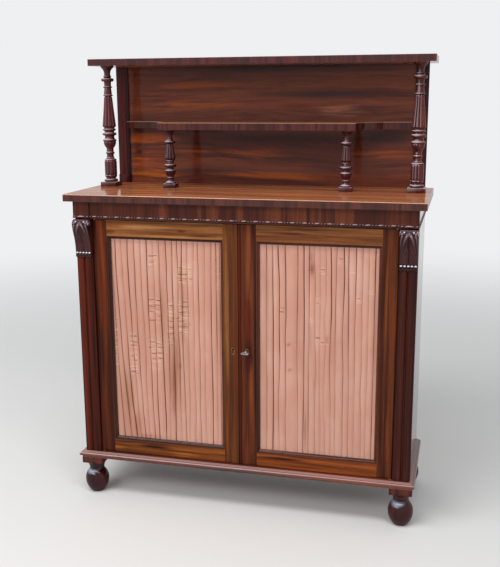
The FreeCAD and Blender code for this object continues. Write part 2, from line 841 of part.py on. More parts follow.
talon_x0 = key_x - key_bit_t
talon_x1 = key_x + key_bit_r + key_bit_t / 2
talon_top = key_z + key_bit_r + 1.2
lock_bolt = block(bolt_x0, bolt_x0 + bolt_len, bolt_y0, bolt_y0 + bolt_t, bolt_z0, bolt_z0 + bolt_h)
lock_bolt = lock_bolt.cut(block(talon_x0, talon_x1, bolt_y0, bolt_y0 + bolt_t, bolt_z0, talon_top))
save("lock_bolt", lock_bolt)


def key():
    """Key at rest: its bow and bit lie level, the bit pointing away from the meeting edge."""
    bow_y = door_y - key_out
    tip = V(key_x, lock_back - 0.3, key_z)
    shank = rod(key_r, V(key_x, bow_y + bow_len - bow_rim / 2, key_z), tip)
    outer = Part.Ellipse(V(key_x, bow_y + bow_len / 2, key_z - bow_t / 2), bow_w / 2, bow_len / 2)
    inner = Part.Ellipse(V(key_x, bow_y + bow_len / 2, key_z - bow_t / 2),
                         bow_w / 2 - bow_rim, bow_len / 2 - bow_rim)
    bow = Part.Face(Part.Wire(outer.toShape())).cut(Part.Face(Part.Wire(inner.toShape())))
    bow = bow.extrude(V(0, 0, bow_t))
    bit_y0 = bolt_y0
    bit = block(key_x, key_x + key_bit_r, bit_y0, bit_y0 + key_bit_w,
                key_z - key_bit_t / 2, key_z + key_bit_t / 2)
    collar_y = bow_y + bow_len
    collar = rod(key_r + 1.2, V(key_x, collar_y + 1.0, key_z), V(key_x, collar_y + 4.0, key_z))
    return shank.fuse([bow, bit, collar]).removeSplitter()


save("key", key())


def escutcheon(x):
    """Keyhole rim let into a stile's face."""
    y0 = door_y - escutcheon_proud
    y1 = y0 + escutcheon_t
    return keyhole(x, y0, y1, escutcheon_rim).cut(keyhole(x, y0, y1))


save("right_escutcheon", escutcheon(key_x))
save("left_escutcheon", escutcheon(-key_x))

strike_x0 = left_free_x - strike_t
strike_y0 = bolt_y0 + bolt_t / 2 - strike_w / 2
strike_z0 = bolt_z0 + bolt_h / 2 - strike_h / 2
strike_body = block(strike_x0, left_free_x, strike_y0, strike_y0 + strike_w,
                    strike_z0, strike_z0 + strike_h)
bolt_reach = lock_x0 + bolt_sunk - bolt_travel
bolt_mortise = block(bolt_reach - 1.0, left_free_x, bolt_y0 - 0.6, bolt_y0 + bolt_t + 0.6,
                     bolt_z0 - 0.6, bolt_z0 + bolt_h + 0.6)
strike_screw_points = []
for dz in (4.5, strike_h - 4.5):
    strike_screw_points.append(V(left_free_x, strike_y0 + strike_w / 2, strike_z0 + dz))
strike_holes = [screw(point, V(-1, 0, 0), screw_fit) for point in strike_screw_points]
save("strike_plate", strike_body.cut(group([bolt_mortise] + strike_holes)))


# ---------------------------------------------------------------- barrel bolts

def barrel_levels(top):
    """Plate's near end, its far end and the direction of throw, for the top or bottom bolt."""
    edge = door_z1 if top else door_z0
    out = 1 if top else -1
    near = edge - out * barrel_edge
    return edge, near, near - out * barrel_plate_h, out


def barrel_plate(top):
    edge, near, far, out = barrel_levels(top)
    y1 = door_back + barrel_plate_t
    plate = block(-barrel_x - barrel_plate_w / 2, -barrel_x + barrel_plate_w / 2, door_back, y1, near, far)
    for start in (near - out * keep_edge, far + out * (keep_edge + keep_h)):
        plate = plate.fuse(block(-barrel_x - keep_w / 2, -barrel_x + keep_w / 2, y1, y1 + keep_d,
                                 start, start - out * keep_h))
    plate = plate.cut(rod(rod_r + rod_fit, rod_axis(near), rod_axis(far)))
    for point in barrel_screw_points(top):
        plate = plate.cut(short_screw(point, V(0, -1, 0), screw_fit))
    return plate


def barrel_screw_points(top):
    edge, near, far, out = barrel_levels(top)
    points = []
    for share in (0.3, 0.7):
        z = near + (far - near) * share
        for dx in (-1, 1):
            points.append(V(-barrel_x + dx * barrel_plate_w * 0.36, door_back + barrel_plate_t, z))
    return points


def barrel_rod(top):
    edge, near, far, out = barrel_levels(top)
    tip = edge - out * rod_sunk
    piece = rod(rod_r, rod_axis(tip), rod_axis(tip - out * rod_len))
    knob_z = tip - out * knob_from_tip
    return piece.fuse(rod(knob_r, rod_axis(knob_z), rod_axis(knob_z) + V(0, rod_r + knob_len, 0)))


save("barrel_bolt_plates", group([barrel_plate(True), barrel_plate(False)]))
save("upper_bolt_rod", barrel_rod(True))
save("lower_bolt_rod", barrel_rod(False))


# ---------------------------------------------------------------- meeting stiles and door screws

def meeting_stile(x0, x1, cuts):
    mortise_in = 1 if x1 > 0 else -1
    edge = mortise_in * meet_half
    cuts = cuts + [
        tenon(edge, -mortise_in, False),
        tenon(edge, -mortise_in, True),
        keyhole(mortise_in * key_x, door_y, door_y - escutcheon_proud + escutcheon_t, escutcheon_rim),
    ]
    return block(x0, x1, door_y, door_back, door_z0, door_z1).cut(group(cuts))


right_cuts = [lock_room, keyhole(key_x, door_y, lock_front)] + lock_screw_holes
save("right_door_meeting_stile", meeting_stile(right_free_x, meet_half, right_cuts))

left_cuts = [strike_body, bolt_mortise, keyhole(-key_x, door_y, door_y + blind_depth)] + strike_holes
for top in (True, False):
    left_cuts += [short_screw(point, V(0, -1, 0), screw_fit) for point in barrel_screw_points(top)]
save("left_door_meeting_stile", meeting_stile(-meet_half, left_free_x, left_cuts))

astragal_mid = V(0, door_y - astragal_out, door_z0)
astragal = prism([
    arc(V(-astragal_w / 2, door_y, door_z0), astragal_mid, V(astragal_w / 2, door_y, door_z0)),
    line(V(astragal_w / 2, door_y, door_z0), V(-astragal_w / 2, door_y, door_z0)),
], V(0, 0, door_z1 - door_z0))
save("astragal_bead", astragal)

door_levels = ((door_z0, 1), (door_z1, -1))
right_screws = plate_screws(1, door_levels)
right_screws += [short_screw(point, V(0, -1, 0)) for point in lock_screw_points]
save("right_door_screws", group(right_screws))
left_screws = plate_screws(-1, door_levels)
left_screws += [screw(point, V(-1, 0, 0)) for point in strike_screw_points]
for top in (True, False):
    left_screws += [short_screw(point, V(0, -1, 0)) for point in barrel_screw_points(top)]
save("left_door_screws", group(left_screws))
carcass_levels = ((floor_z, -1), (rail_z, 1))
save("carcass_screws", group(plate_screws(-1, carcass_levels) + plate_screws(1, carcass_levels)))


# ---------------------------------------------------------------- deck and gallery

def eased(board):
    """Board with its upper edges rounded a little."""
    top_z = board.BoundBox.ZMax
    edges = [e for e in board.Edges if e.BoundBox.ZMin > top_z - 0.01]
    return board.makeFillet(deck_edge_round, edges)


def dowel_hole(x, y, z, up):
    """Blind hole for a turned piece's dowel, in the face at height z."""
    return rod(dowel_r + dowel_fit, V(x, y, z), V(x, y, z + up * (dowel_h + dowel_room)))


tall_spots = [(sign * column_x, column_y) for sign, side in SIDES]
small_spots = [(sign * small_x, small_y) for sign, side in SIDES]

deck = eased(block(-deck_w / 2, deck_w / 2, deck_front, deck_back, deck_z, deck_top))
for x, y in tall_spots + small_spots:
    deck = deck.cut(dowel_hole(x, y, deck_top, -1))
save("deck", deck)

top_board = eased(block(-deck_w / 2, deck_w / 2, gallery_front, deck_back,
                        top_board_z, top_board_z + top_board_t))
for x, y in tall_spots:
    top_board = top_board.cut(dowel_hole(x, y, top_board_z, 1))
save("top_board", top_board)

save("gallery_back", block(-gallery_half, gallery_half, gallery_face, deck_back, deck_top, top_board_z))

shelf_end_x = rear_pilaster_x - mid_shelf_end_gap
shelf_end_y = gallery_face - mid_shelf_end_d
sweep_x = mid_shelf_half + mid_shelf_sweep
sweep_mid = V(sweep_x - mid_shelf_sweep * math.cos(math.pi / 4),
              gallery_front + (shelf_end_y - gallery_front) * math.sin(math.pi / 4), shelf_low)


def flip(point):
    return V(-point.x, point.y, point.z)


shelf_points = [
    V(mid_shelf_half, gallery_front, shelf_low),
    V(sweep_x, shelf_end_y, shelf_low),
    V(shelf_end_x, shelf_end_y, shelf_low),
    V(shelf_end_x, gallery_face, shelf_low),
]
front_right, sweep_end, end_front, end_back = shelf_points
mid_shelf = prism([
    line(flip(front_right), front_right),
    arc(front_right, sweep_mid, sweep_end),
    line(sweep_end, end_front),
    line(end_front, end_back),
    line(end_back, flip(end_back)),
    line(flip(end_back), flip(end_front)),
    line(flip(end_front), flip(sweep_end)),
    arc(flip(sweep_end), flip(sweep_mid), flip(front_right)),
], V(0, 0, mid_shelf_t))
for x, y in small_spots:
    mid_shelf = mid_shelf.cut(dowel_hole(x, y, shelf_low, 1))
save("mid_shelf", mid_shelf)


def rear_pilaster():
    """Reeded strip on the back panel, with a plain foot."""
    y0 = gallery_face - rear_pilaster_t
    strip = prism(reeded_edges(rear_pilaster_x, gallery_half, y0, rear_reed_depth, gallery_face,
                               deck_top + rear_foot_h), V(0, 0, gallery_h - rear_foot_h))
    return strip.fuse(block(rear_pilaster_x, gallery_half, y0 - rear_foot_out, gallery_face, deck_top,
                            deck_top + rear_foot_h))


rear_strip = rear_pilaster()
save("rear_pilaster_right", rear_strip)
save("rear_pilaster_left", mirrored(rear_strip))


# ---------------------------------------------------------------- turned columns

tall_members = [
    (9.5, 22.5, 18.0),      # base torus
    (0.0, 16.0),
    (3.5, 16.0),
    (7.0, 19.2, 20.0),      # lower end of the reeded shaft
    (50.0, 20.0),           # reeded shaft
    (5.0, 19.0, 15.0),
    (0.0, 12.0),
    (4.0, 14.0, 12.0),      # small ring
    (11.5, 11.2, 11.5),
    (7.5, 14.2, 11.5),      # ring
    (5.0, 11.0, 12.0),
    (8.0, 11.2, 12.5),
    (21.0, 18.8, 20.5),     # bowl
    (6.5, 22.2, 19.0),      # ring on the bulb
    (12.5, 15.2, 16.5),
    (9.0, 22.8, 17.0),      # great ring
    (6.0, 15.6, 17.0),
    (6.5, 21.2, 17.5),      # ring under the lobes
    (3.0, 17.5),
    (7.0, 21.2, 22.0),      # round ends of the lobes
    (None, 17.2, 13.0),     # lobed shaft
    (5.0, 15.4, 12.8),      # collar
    (22.0, 12.0, 10.5),     # cup
    (4.0, 14.6, 11.0),      # small ring
    (16.0, 11.2, 12.0),
    (9.0, 20.2, 12.0),      # upper ring
    (3.0, 10.6),
    (5.0, 13.0, 10.3),      # small bead
    (5.0, 10.0),
    (21.0, 11.6, 20.0),     # flared cup under the top board
    (4.5, 21.0),
]
small_members = [
    (5.5, 18.0, 15.0),      # base torus
    (8.0, 10.6, 9.8),
    (3.5, 10.0),
    (4.0, 12.6, 10.5),      # small ring
    (2.5, 10.5),
    (14.5, 15.0, 16.5),     # bulb
    (6.0, 18.2, 15.0),      # ring on the bulb
    (9.0, 10.4, 12.0),
    (9.5, 19.2, 12.0),      # great ring
    (4.0, 12.0),
    (3.5, 11.2),
    (4.5, 13.6, 12.2),      # collar under the lobes
    (9.0, 16.4, 17.2),      # round ends of the lobes
    (None, 14.2, 10.5),     # lobed vase
    (5.0, 9.6, 10.0),
    (6.0, 18.0, 13.0),      # upper ring
    (8.0, 10.5, 9.0),
    (2.5, 8.0),
    (21.0, 9.4, 15.5),      # flared cup under the shelf
    (4.0, 16.0),
]


def column(members, start_r, block_w, block_h, height, x, y):
    """Turned column with its square foot and a dowel at each end."""
    half = block_w / 2
    piece = block(x - half, x + half, y - half, y + half, deck_top, deck_top + block_h)
    piece = piece.fuse(turned(members, start_r, height - block_h, x, y, deck_top + block_h))
    piece = piece.fuse(rod(dowel_r, V(x, y, deck_top - dowel_h), V(x, y, deck_top)))
    return piece.fuse(rod(dowel_r, V(x, y, deck_top + height), V(x, y, deck_top + height + dowel_h)))


for sign, side in SIDES:
    tall = column(tall_members, 18.0, column_block_w, column_block_h, gallery_h, sign * column_x, column_y)
    save("tall_column_" + side, tall)
    small = column(small_members, 14.5, small_block_w, small_block_h, mid_shelf_z - mid_shelf_t,
                   sign * small_x, small_y)
    save("small_column_" + side, small)
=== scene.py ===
import cmath
import math

import bmesh
import bpy
import numpy as np
from mathutils import Matrix, Vector


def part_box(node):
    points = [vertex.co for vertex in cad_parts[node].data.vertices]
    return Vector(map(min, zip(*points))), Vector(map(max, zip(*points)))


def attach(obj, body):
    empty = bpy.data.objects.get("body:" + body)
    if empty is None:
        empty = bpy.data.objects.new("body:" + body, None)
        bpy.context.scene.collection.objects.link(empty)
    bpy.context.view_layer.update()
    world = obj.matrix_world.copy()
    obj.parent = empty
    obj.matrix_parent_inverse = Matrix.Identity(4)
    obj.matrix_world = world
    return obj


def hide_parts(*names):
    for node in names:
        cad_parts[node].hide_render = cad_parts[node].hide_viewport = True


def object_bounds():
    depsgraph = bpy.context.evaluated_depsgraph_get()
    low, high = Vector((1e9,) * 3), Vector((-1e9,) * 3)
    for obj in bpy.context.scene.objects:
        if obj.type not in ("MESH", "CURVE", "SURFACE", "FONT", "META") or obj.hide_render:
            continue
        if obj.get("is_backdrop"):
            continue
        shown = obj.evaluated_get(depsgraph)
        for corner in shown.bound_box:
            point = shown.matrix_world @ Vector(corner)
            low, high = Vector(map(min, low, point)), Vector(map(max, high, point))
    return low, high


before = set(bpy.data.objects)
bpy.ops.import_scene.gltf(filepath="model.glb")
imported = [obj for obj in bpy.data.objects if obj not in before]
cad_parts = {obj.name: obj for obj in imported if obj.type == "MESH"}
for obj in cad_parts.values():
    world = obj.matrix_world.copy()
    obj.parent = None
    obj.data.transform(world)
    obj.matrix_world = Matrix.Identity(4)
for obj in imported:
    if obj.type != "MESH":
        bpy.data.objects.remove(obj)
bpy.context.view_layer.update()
MM = 0.001


# ------------ feet
# Four feet, each a square block turned down to a neck and a flattened ball, of dark rosewood that was
# polished on the lathe. They are doweled into the base.

class Wire:
    """One output of a node. A sum written on wires becomes a node of their tree."""

    def __init__(self, step, part=0):
        self.socket = step.outputs[part]
        self.tree = step.id_data

    def __add__(self, other):
        return maths("ADD", self, other)

    def __sub__(self, other):
        return maths("SUBTRACT", self, other)

    def __rsub__(self, other):
        return maths("SUBTRACT", other, self)

    def __mul__(self, other):
        return maths("MULTIPLY", self, other)

    def __truediv__(self, other):
        return maths("DIVIDE", self, other)


def srgb(red, green, blue):
    """A colour given by its screen values, 0 to 255."""
    def linear(v):
        v /= 255
        return v / 12.92 if v <= 0.04045 else ((v + 0.055) / 1.055) ** 2.4
    return linear(red), linear(green), linear(blue), 1.0


def put(step, given):
    """Sets or links a node's inputs, by name or number. A colour's three numbers are screen values."""
    for name, value in given.items():
        socket = step.inputs[name]
        if isinstance(value, Wire):
            value.tree.links.new(value.socket, socket)
        elif socket.type == "RGBA" and len(value) == 3:
            socket.default_value = srgb(*value)
        else:
            socket.default_value = value


def add(tree, kind, given=None, **settings):
    """A new node with its settings and its inputs."""
    step = tree.nodes.new(kind)
    for name, value in settings.items():
        setattr(step, name, value)
    put(step, given or {})
    return step


def maths(job, *values):
    """A sum as a node: of vectors, if any of its values is one."""
    wires = [value for value in values if isinstance(value, Wire)]
    plain = all(wire.socket.type == "VALUE" for wire in wires)
    plain = plain and not any(isinstance(value, tuple) for value in values)
    step = add(wires[0].tree, "ShaderNodeMath" if plain else "ShaderNodeVectorMath",
               dict(enumerate(values)), operation=job)
    return Wire(step, "Value" if job in ("LENGTH", "DOT_PRODUCT") else 0)


def spread(value, low, high, to_low=0.0, to_high=1.0):
    """Eases a value between two limits to another two."""
    limits = dict(enumerate((value, low, high, to_low, to_high)))
    return Wire(add(value.tree, "ShaderNodeMapRange", limits, interpolation_type="SMOOTHSTEP"))


def blended(share, first, second):
    return Wire(add(share.tree, "ShaderNodeMix", {0: share, 6: first, 7: second}, data_type="RGBA"), 2)


def tinted(colour, value, low, high, most, tone):
    """The colour turned to a tone, by most of it at most, as the value goes from low to high."""
    return blended(spread(value, low, high, 0.0, most), colour, tone)


def noise(place, detail, roughness=0.5, part="Fac"):
    given = {"Vector": place, "Scale": 1.0, "Detail": detail, "Roughness": roughness}
    return Wire(add(place.tree, "ShaderNodeTexNoise", given), part)


def bumped(height, strength, distance):
    given = {"Height": height, "Strength": strength, "Distance": distance}
    return Wire(add(height.tree, "ShaderNodeBump", given))


def coordinate(tree, part="Object"):
    return Wire(add(tree, "ShaderNodeTexCoord"), part)


def apart(place):
    """The three numbers of a place."""
    step = add(place.tree, "ShaderNodeSeparateXYZ", {0: place})
    return [Wire(step, number) for number in range(3)]


def facing(tree, toward):
    """How nearly the surface faces a direction."""
    return maths("DOT_PRODUCT", coordinate(tree, "Normal"), toward)


def start_material(name):
    made = bpy.data.materials.new(name)
    made.use_nodes = True
    tree = made.node_tree
    tree.nodes.clear()
    shader = add(tree, "ShaderNodeBsdfPrincipled")
    add(tree, "ShaderNodeOutputMaterial", {"Surface": Wire(shader)})
    return made, tree, shader


def along_grain(place, grain):
    """The place with its first number along the grain."""
    if grain == "X":
        return place
    numbers = apart(place)
    order = {"Y": (1, 0, 2), "Z": (2, 0, 1)}[grain]
    given = {target: numbers[source] for target, source in enumerate(order)}
    return Wire(add(place.tree, "ShaderNodeCombineXYZ", given))


def figure(tree, grain, wood, seed, patches=(), face=None):
    """The colour and the fine lines of a rosewood board whose grain runs along one axis.

    wood is its light, middle and dark tones, how many broad bands and streaks come in a metre, how much
    of it is dark, and how far the grain wanders. A patch is (x, z, half width, half height, tone); where
    face is given, it is the y of the face that carries the patches, and the other face has none.
    """
    light, mid, dark, bands, streaks, share, wave = wood
    face_fade = 0.0 if face is None else 200.0
    here = coordinate(tree)
    place = along_grain(here, grain) + (seed * 0.1, seed * 0.17, seed * 0.06)
    drift = noise(place * (2.1, 4.6, 4.6), 2, 0.5, "Color") - (0.5, 0.5, 0.5)
    place = place + drift * (0, wave, wave)
    band = noise(place * (0.9, bands, bands), 3, 0.55)
    streak = noise(place * (1.3, streaks, streaks), 5, 0.66)
    line = noise(place * (5.0, 330, 330), 2, 0.6)
    pore = noise(place * (60, 1500, 1500), 0)
    colour = tinted(mid, band, 0.34, 0.64, 1.0, light)
    for x, z, wide, tall, tone in patches:
        away = (here - (x * MM, (face or 0) * MM, z * MM)) * (1 / (wide * MM), face_fade, 1 / (tall * MM))
        away = maths("LENGTH", away) + (streak - 0.5) * 2.2
        colour = tinted(colour, away, 1.25, 0.25, 1.0, tone)
    middle = 0.64 - 0.28 * share
    colour = tinted(colour, streak, middle - 0.13, middle + 0.13, 0.85, dark)
    colour = tinted(colour, line, 0.42, 0.78, 0.4, dark)
    colour = tinted(colour, pore, 0.62, 0.72, 0.3, dark)
    return colour, line


def polish(shader, colour, line, shine, gloss):
    """French polish: a clear coat, not quite flat, over wood that shows its lines."""
    ripple = noise(coordinate(shader.id_data) * (23, 23, 23), 1)
    put(shader, {"Base Color": colour, "Roughness": 0.45, "Specular IOR Level": 0.0, "Coat Weight": shine,
                 "Coat Roughness": gloss, "Coat IOR": 1.5, "Normal": bumped(line, 0.25, 0.0002),
                 "Coat Normal": bumped(ripple, 0.35, 0.0006)})


def painted_highlight_rosewood(name, wood, seed, worn, low, share, shine, gloss, patches=(), rib_highlight=0.0):
    """Painted highlights: the colour is turned paler on faces that point up and forward, and, by the last
    share, on upright faces that point forward and to the left.
    """
    made, tree, shader = start_material(name)
    colour, line = figure(tree, "Z", wood, seed, patches)
    for toward, start, most in (((-0.2, -0.35, 0.92), low, share), ((-0.25, -0.93, 0.25), 0.9, rib_highlight)):
        colour = tinted(colour, facing(tree, toward), start, 1.0, most, worn)
    polish(shader, colour, line, shine, gloss)
    return made


def placed(name, data):
    made = bpy.data.objects.new(name, data)
    bpy.context.scene.collection.objects.link(made)
    return made


def fitted(name, mesh, body, plain):
    """A new piece that rides on a body and takes the place of a plain one."""
    made = placed(name, mesh)
    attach(made, body)
    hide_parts(plain)
    return made


def wooden_piece(name, ending, finish, shapes, crest=None):
    """One turned or carved piece of the fixed case, from several (verts, faces)."""
    verts, faces = [], []
    for more, those in shapes:
        base = len(verts)
        verts += [tuple(v) for v in more]
        faces += [[base + i for i in face] for face in those]
    mesh = bpy.data.meshes.new(name + ending)
    mesh.from_pydata(verts, [], faces)
    if crest:
        mesh.attributes.new("crest", "FLOAT", "POINT").data.foreach_set("value", crest)
    work = bmesh.new()
    work.from_mesh(mesh)
    bmesh.ops.remove_doubles(work, verts=work.verts, dist=1e-6)
    bmesh.ops.recalc_face_normals(work, faces=work.faces)
    work.to_mesh(mesh)
    work.free()
    mesh.materials.append(finish)
    mesh.polygons.foreach_set("use_smooth", [True] * len(mesh.polygons))
    mesh.set_sharp_from_angle(angle=math.radians(38))
    fitted(name + ending, mesh, "root", name)


def arc_points(start, middle, end, step):
    """Points along the circle's arc through three points, without the first."""
    a, b, c = (complex(*p) for p in (start, middle, end))
    w = (c - a) / (b - a)
    if abs(w.imag) < 1e-7:
        count = max(2, int(abs(c - a) / step))
        between = [a + (c - a) * k / count for k in range(1, count + 1)]
    else:
        centre = (b - a) * (w - abs(w) ** 2) / (2j * w.imag) + a
        turn = cmath.phase((b - centre) / (a - centre)) + cmath.phase((c - centre) / (b - centre))
        count = max(4, int(abs(turn) * abs(a - centre) / step))
        between = [centre + (a - centre) * cmath.exp(1j * turn * k / count) for k in range(1, count + 1)]
    return [(p.real, p.imag) for p in between]


def turning(members, start_r, total):
    """Rings of a turned piece, bottom to top: (height, radius, member, share of the member's height).

    A member is (height, end radius), or (height, middle radius, end radius) for a bead or a hollow.
    A height of None takes what is left.
    """
    fixed = sum(m[0] for m in members if m[0] is not None)
    rings, r, h = [(0.0, start_r, 0, 0.0)], start_r, 0.0
    for number, member in enumerate(members):
        rise = total - fixed if member[0] is None else member[0]
        last = member[-1]
        if len(member) == 2:
            steps = max(2, int(rise / 2.0))
            shape = [(r + (last - r) * k / steps, rise * k / steps) for k in range(1, steps + 1)]
        else:
            shape = arc_points((r, 0.0), (member[1], rise / 2), (last, rise), 0.8)
        rings += [(h + z, x, number, z / rise if rise else 1.0) for x, z in shape]
        r, h = last, h + rise
    return rings


def lathe(rings, spin, x, y, z, carve=None):
    """A closed mesh from rings of (height, radius, ...). spin gives the angles round the axis."""
    verts, faces = [(x * MM, y * MM, (z + rings[0][0]) * MM)], []
    count = len(spin)
    for ring in rings:
        for angle, across in spin:
            r = ring[1] if carve is None else carve(ring, across)
            verts.append(((x + r * math.cos(angle)) * MM, (y + r * math.sin(angle)) * MM,
                          (z + ring[0]) * MM))
    verts.append((x * MM, y * MM, (z + rings[-1][0]) * MM))
    top = len(verts) - 1
    for k in range(count):
        n = (k + 1) % count
        faces += [(0, 1 + n, 1 + k), (top, top - count + k, top - count + n)]
    for i in range(len(rings) - 1):
        low, high = 1 + i * count, 1 + (i + 1) * count
        for k in range(count):
            n = (k + 1) % count
            faces.append((low + k, low + n, high + n, high + k))
    return verts, faces


def even_spin(count):
    return [(2 * math.pi * k / count, 0.0) for k in range(count)]


def dowel(x, y, low, high, radius, sides):
    return lathe([(low, radius), (high, radius)], even_spin(sides), x, y, 0)


def eased_block(x, y, half, low, high, ease):
    """A square block on an upright axis, with its edges eased by a small chamfer."""
    work = bmesh.new()
    bmesh.ops.create_cube(work, size=1.0)
    centre = Vector((x, y, (low + high) / 2))
    for v in work.verts:
        v.co = (centre + v.co * Vector((2 * half, 2 * half, high - low))) * MM
    bmesh.ops.bevel(work, geom=work.edges[:], offset=ease * MM, segments=2, profile=0.6, affect="EDGES")
    work.verts.index_update()
    block = [v.co.copy() for v in work.verts], [[v.index for v in face.verts] for face in work.faces]
    work.free()
    return block


foot_members = [(47.0, 35.0, 38.0), (29.0, 34.1, 22.0), (3.0, 24.5, 23.0), (26.0, 26.2, 33.0)]
foot_sole_r, foot_half, foot_dowel_r = 20.0, 34.5, 12.0
foot_turned, foot_top, foot_dowel_top = 105.0, 126.0, 142.0
foot_wood = ((70, 18, 16), (46, 12, 12), (24, 8, 10), 10, 34, 0.3, 0.02)
foot_patches = [(x, 119, 60, 17, (100, 40, 25)) for x in (-485, 485)]
# The feet take a painted highlight, pale and bluish, on the upper shoulder of each ball.
foot_finish = painted_highlight_rosewood("foot_polish", foot_wood, 3.1, (178, 180, 204), 0.74, 0.95, 0.55, 0.07,
                             foot_patches)
for name in ("foot_front_left", "foot_front_right", "foot_rear_left", "foot_rear_right"):
    low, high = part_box(name)
    x, y = (low.x + high.x) / 2 / MM, (low.y + high.y) / 2 / MM
    ball = lathe(turning(foot_members, foot_sole_r, foot_turned), even_spin(96), x, y, 0)
    square = eased_block(x, y, foot_half, foot_turned, foot_top, 0.6)
    peg = dowel(x, y, foot_top, foot_dowel_top, foot_dowel_r, 24)
    wooden_piece(name, "_turned", foot_finish, [ball, square, peg])


# ------------ base and its moulding
# A flat frame, faced with rosewood, takes the feet. Three lengths of rosewood moulding, mitred at the
# front corners, are glued round it.

mitre = 0.0003


def dress(material, *names):
    """Gives pieces of the case their material."""
    for name in names:
        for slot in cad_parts[name].material_slots:
            slot.material = material


def mitred_rosewood(wood, seed, half, front, *names):
    """Grain along the front length, and along the side lengths beyond the mitres."""
    made, tree, shader = start_material(names[0] + "_polish")
    across, line = figure(tree, "X", wood, seed)
    back, _ = figure(tree, "Y", wood, seed + 4)
    x, y, _ = apart(coordinate(tree))
    beyond = maths("ABSOLUTE", x) - half + (y - front)
    colour = blended(spread(beyond, -mitre, mitre), across, back)
    # Painted highlight along the nose, where the moulding faces up and forward.
    colour = tinted(colour, facing(tree, (0.0, -0.6, 0.8)), 0.92, 1.0, 0.6, (204, 172, 168))
    polish(shader, colour, line, 1.0, 0.12)
    dress(made, *names)


plinth_wood = ((136, 68, 46), (98, 46, 36), (50, 25, 26), 14, 40, 0.4, 0.01)
mitred_rosewood(plinth_wood, 8.2, 0.523, -0.1745, "plinth_moulding", "base_frame")


# ------------ carcass
# Two sides, a bottom board, three back boards, top rails and one shelf on bearers. The sides, bottom
# and rails are faced with rosewood. The rest is plain wood, seen from behind or with the doors open.

def rosewood(grain, wood, seed, shine, gloss, *names, patches=(), face=None):
    """Polished rosewood on the pieces that are named."""
    made, tree, shader = start_material(names[0] + "_polish")
    colour, line = figure(tree, grain, wood, seed, patches, face)
    polish(shader, colour, line, shine, gloss)
    dress(made, *names)


def plain_wood(grain, seed, name):
    made, tree, shader = start_material(name + "_wood")
    wood = ((176, 132, 86), (150, 106, 64), (96, 62, 38), 7, 26, 0.3, 0.02)
    colour, line = figure(tree, grain, wood, seed)
    put(shader, {"Base Color": colour, "Roughness": 0.55, "Coat Weight": 0.15, "Coat Roughness": 0.3,
                 "Normal": bumped(line, 0.4, 0.0004)})
    dress(made, name)


side_wood = ((126, 60, 32), (94, 42, 28), (50, 22, 22), 9, 30, 0.5, 0.03)
rosewood("Z", side_wood, 11.3, 1.0, 0.1, "side_left")
rosewood("Z", side_wood, 17.9, 1.0, 0.1, "side_right")
rosewood("X", side_wood, 19.0, 0.5, 0.2, "bottom_board")
rosewood("X", side_wood, 23.0, 0.5, 0.2, "top_rails")
plain_wood("Z", 3.0, "back_boards")
plain_wood("X", 5.0, "inner_shelf")
plain_wood("Y", 6.0, "shelf_bearers")


# ------------ pilasters
# A post each side of the doors, joined to the side behind it. Broad reeds are worked down its front,
# in dark rosewood whose polish has gone dull.

pilaster_wood = ((100, 38, 22), (70, 26, 16), (32, 12, 10), 20, 60, 0.45, 0.01)
rosewood("Z", pilaster_wood, 21.0, 0.2, 0.1, "pilaster_left")
rosewood("Z", pilaster_wood, 25.0, 0.3, 0.1, "pilaster_right")


# ------------ frieze
# A crossbanded board under the deck, its grain upright, between two small blocks over the pilasters.
# Paler flames stand in the veneer here and there.

frieze_wood = ((100, 48, 32), (80, 38, 28), (58, 27, 24), 13, 60, 0.36, 0.004)
flames = ((-234, 15), (-122, 12), (-76, 15), (5, 13), (118, 44), (185, 32), (243, 34), (302, 24), (339, 14))
frieze_patches = [(x, 938, wide, 44, (116, 60, 37)) for x, wide in flames]
rosewood("Z", frieze_wood, 31.7, 0.25, 0.12, "frieze", "frieze_blocks", patches=frieze_patches)


# ------------ corbels
# A carved bracket at the head of each pilaster: a leaf with a double rib droops over it from the top,
# with an eye at each upper corner, over a row of five beads and a small lobed collar.

def smooth_step(a, b, v):
    t = min(1.0, max(0.0, (v - a) / (b - a)))
    return t * t * (3 - 2 * t)


def carved_rosewood(name, wood, seed, worn):
    """Darker in the hollows of the carving, and painted highlights on its crests: pale, and near white where
    the crest value runs above 1.
    """
    made, tree, shader = start_material(name)
    colour, line = figure(tree, "Z", wood, seed)
    high = Wire(add(tree, "ShaderNodeAttribute", attribute_name="crest"), "Fac")
    colour = tinted(colour, high, 0.4, 0.0, 0.85, (20, 9, 12))
    colour = tinted(colour, high, 0.4, 1.0, 0.7, worn)
    colour = tinted(colour, high, 1.0, 1.5, 0.85, (224, 214, 226))
    polish(shader, colour, line, 0.45, 0.12)
    return made


corbel_wood = ((80, 38, 34), (58, 26, 27), (30, 13, 17), 18, 50, 0.4, 0.01)
corbel_finish = carved_rosewood("corbel_polish", corbel_wood, 41.0, (136, 112, 120))
corbel_half, corbel_back, corbel_top, corbel_foot = 25.5, -168.0, 909.0, 789.0
leaf_foot, collar_top = 807.5, 796.8
row_beads, row_y, row_z, row_r = 5, -175.5, 802.9, 4.4
eye_side, eye_z, eye_r = 19.5, 899.0, 5.5
# The fourth number is the plain crest value: no painted highlight and no darkening.
rib_side, rib_out, most_relief, plain_highlight = 1.8, 1.5, 2.4, 0.4
brow, cheek, waist, neck = (-185.5, corbel_top), (-195.5, 896.0), (-184.0, 855.0), (-176.0, 807.3)
lip, lip_steps = (-178.0, 795.8), 12
corbel_line = [(corbel_back, corbel_top), brow]
for start, by, end in ((brow, (-193.0, 904.5), cheek), (cheek, (-192.0, 877.0), waist),
                       (waist, (-178.5, 831.4), neck)):
    corbel_line += arc_points(start, by, end, 0.7)
corbel_line += [(neck[0], neck[1] - k * 1.1) for k in range(1, 9)]
corbel_line += [(-177.0, 797.0), lip]
corbel_line += [(lip[0] + 5.0 * k / lip_steps, lip[1] - 6.8 * k / lip_steps)
                for k in range(1, lip_steps + 1)]


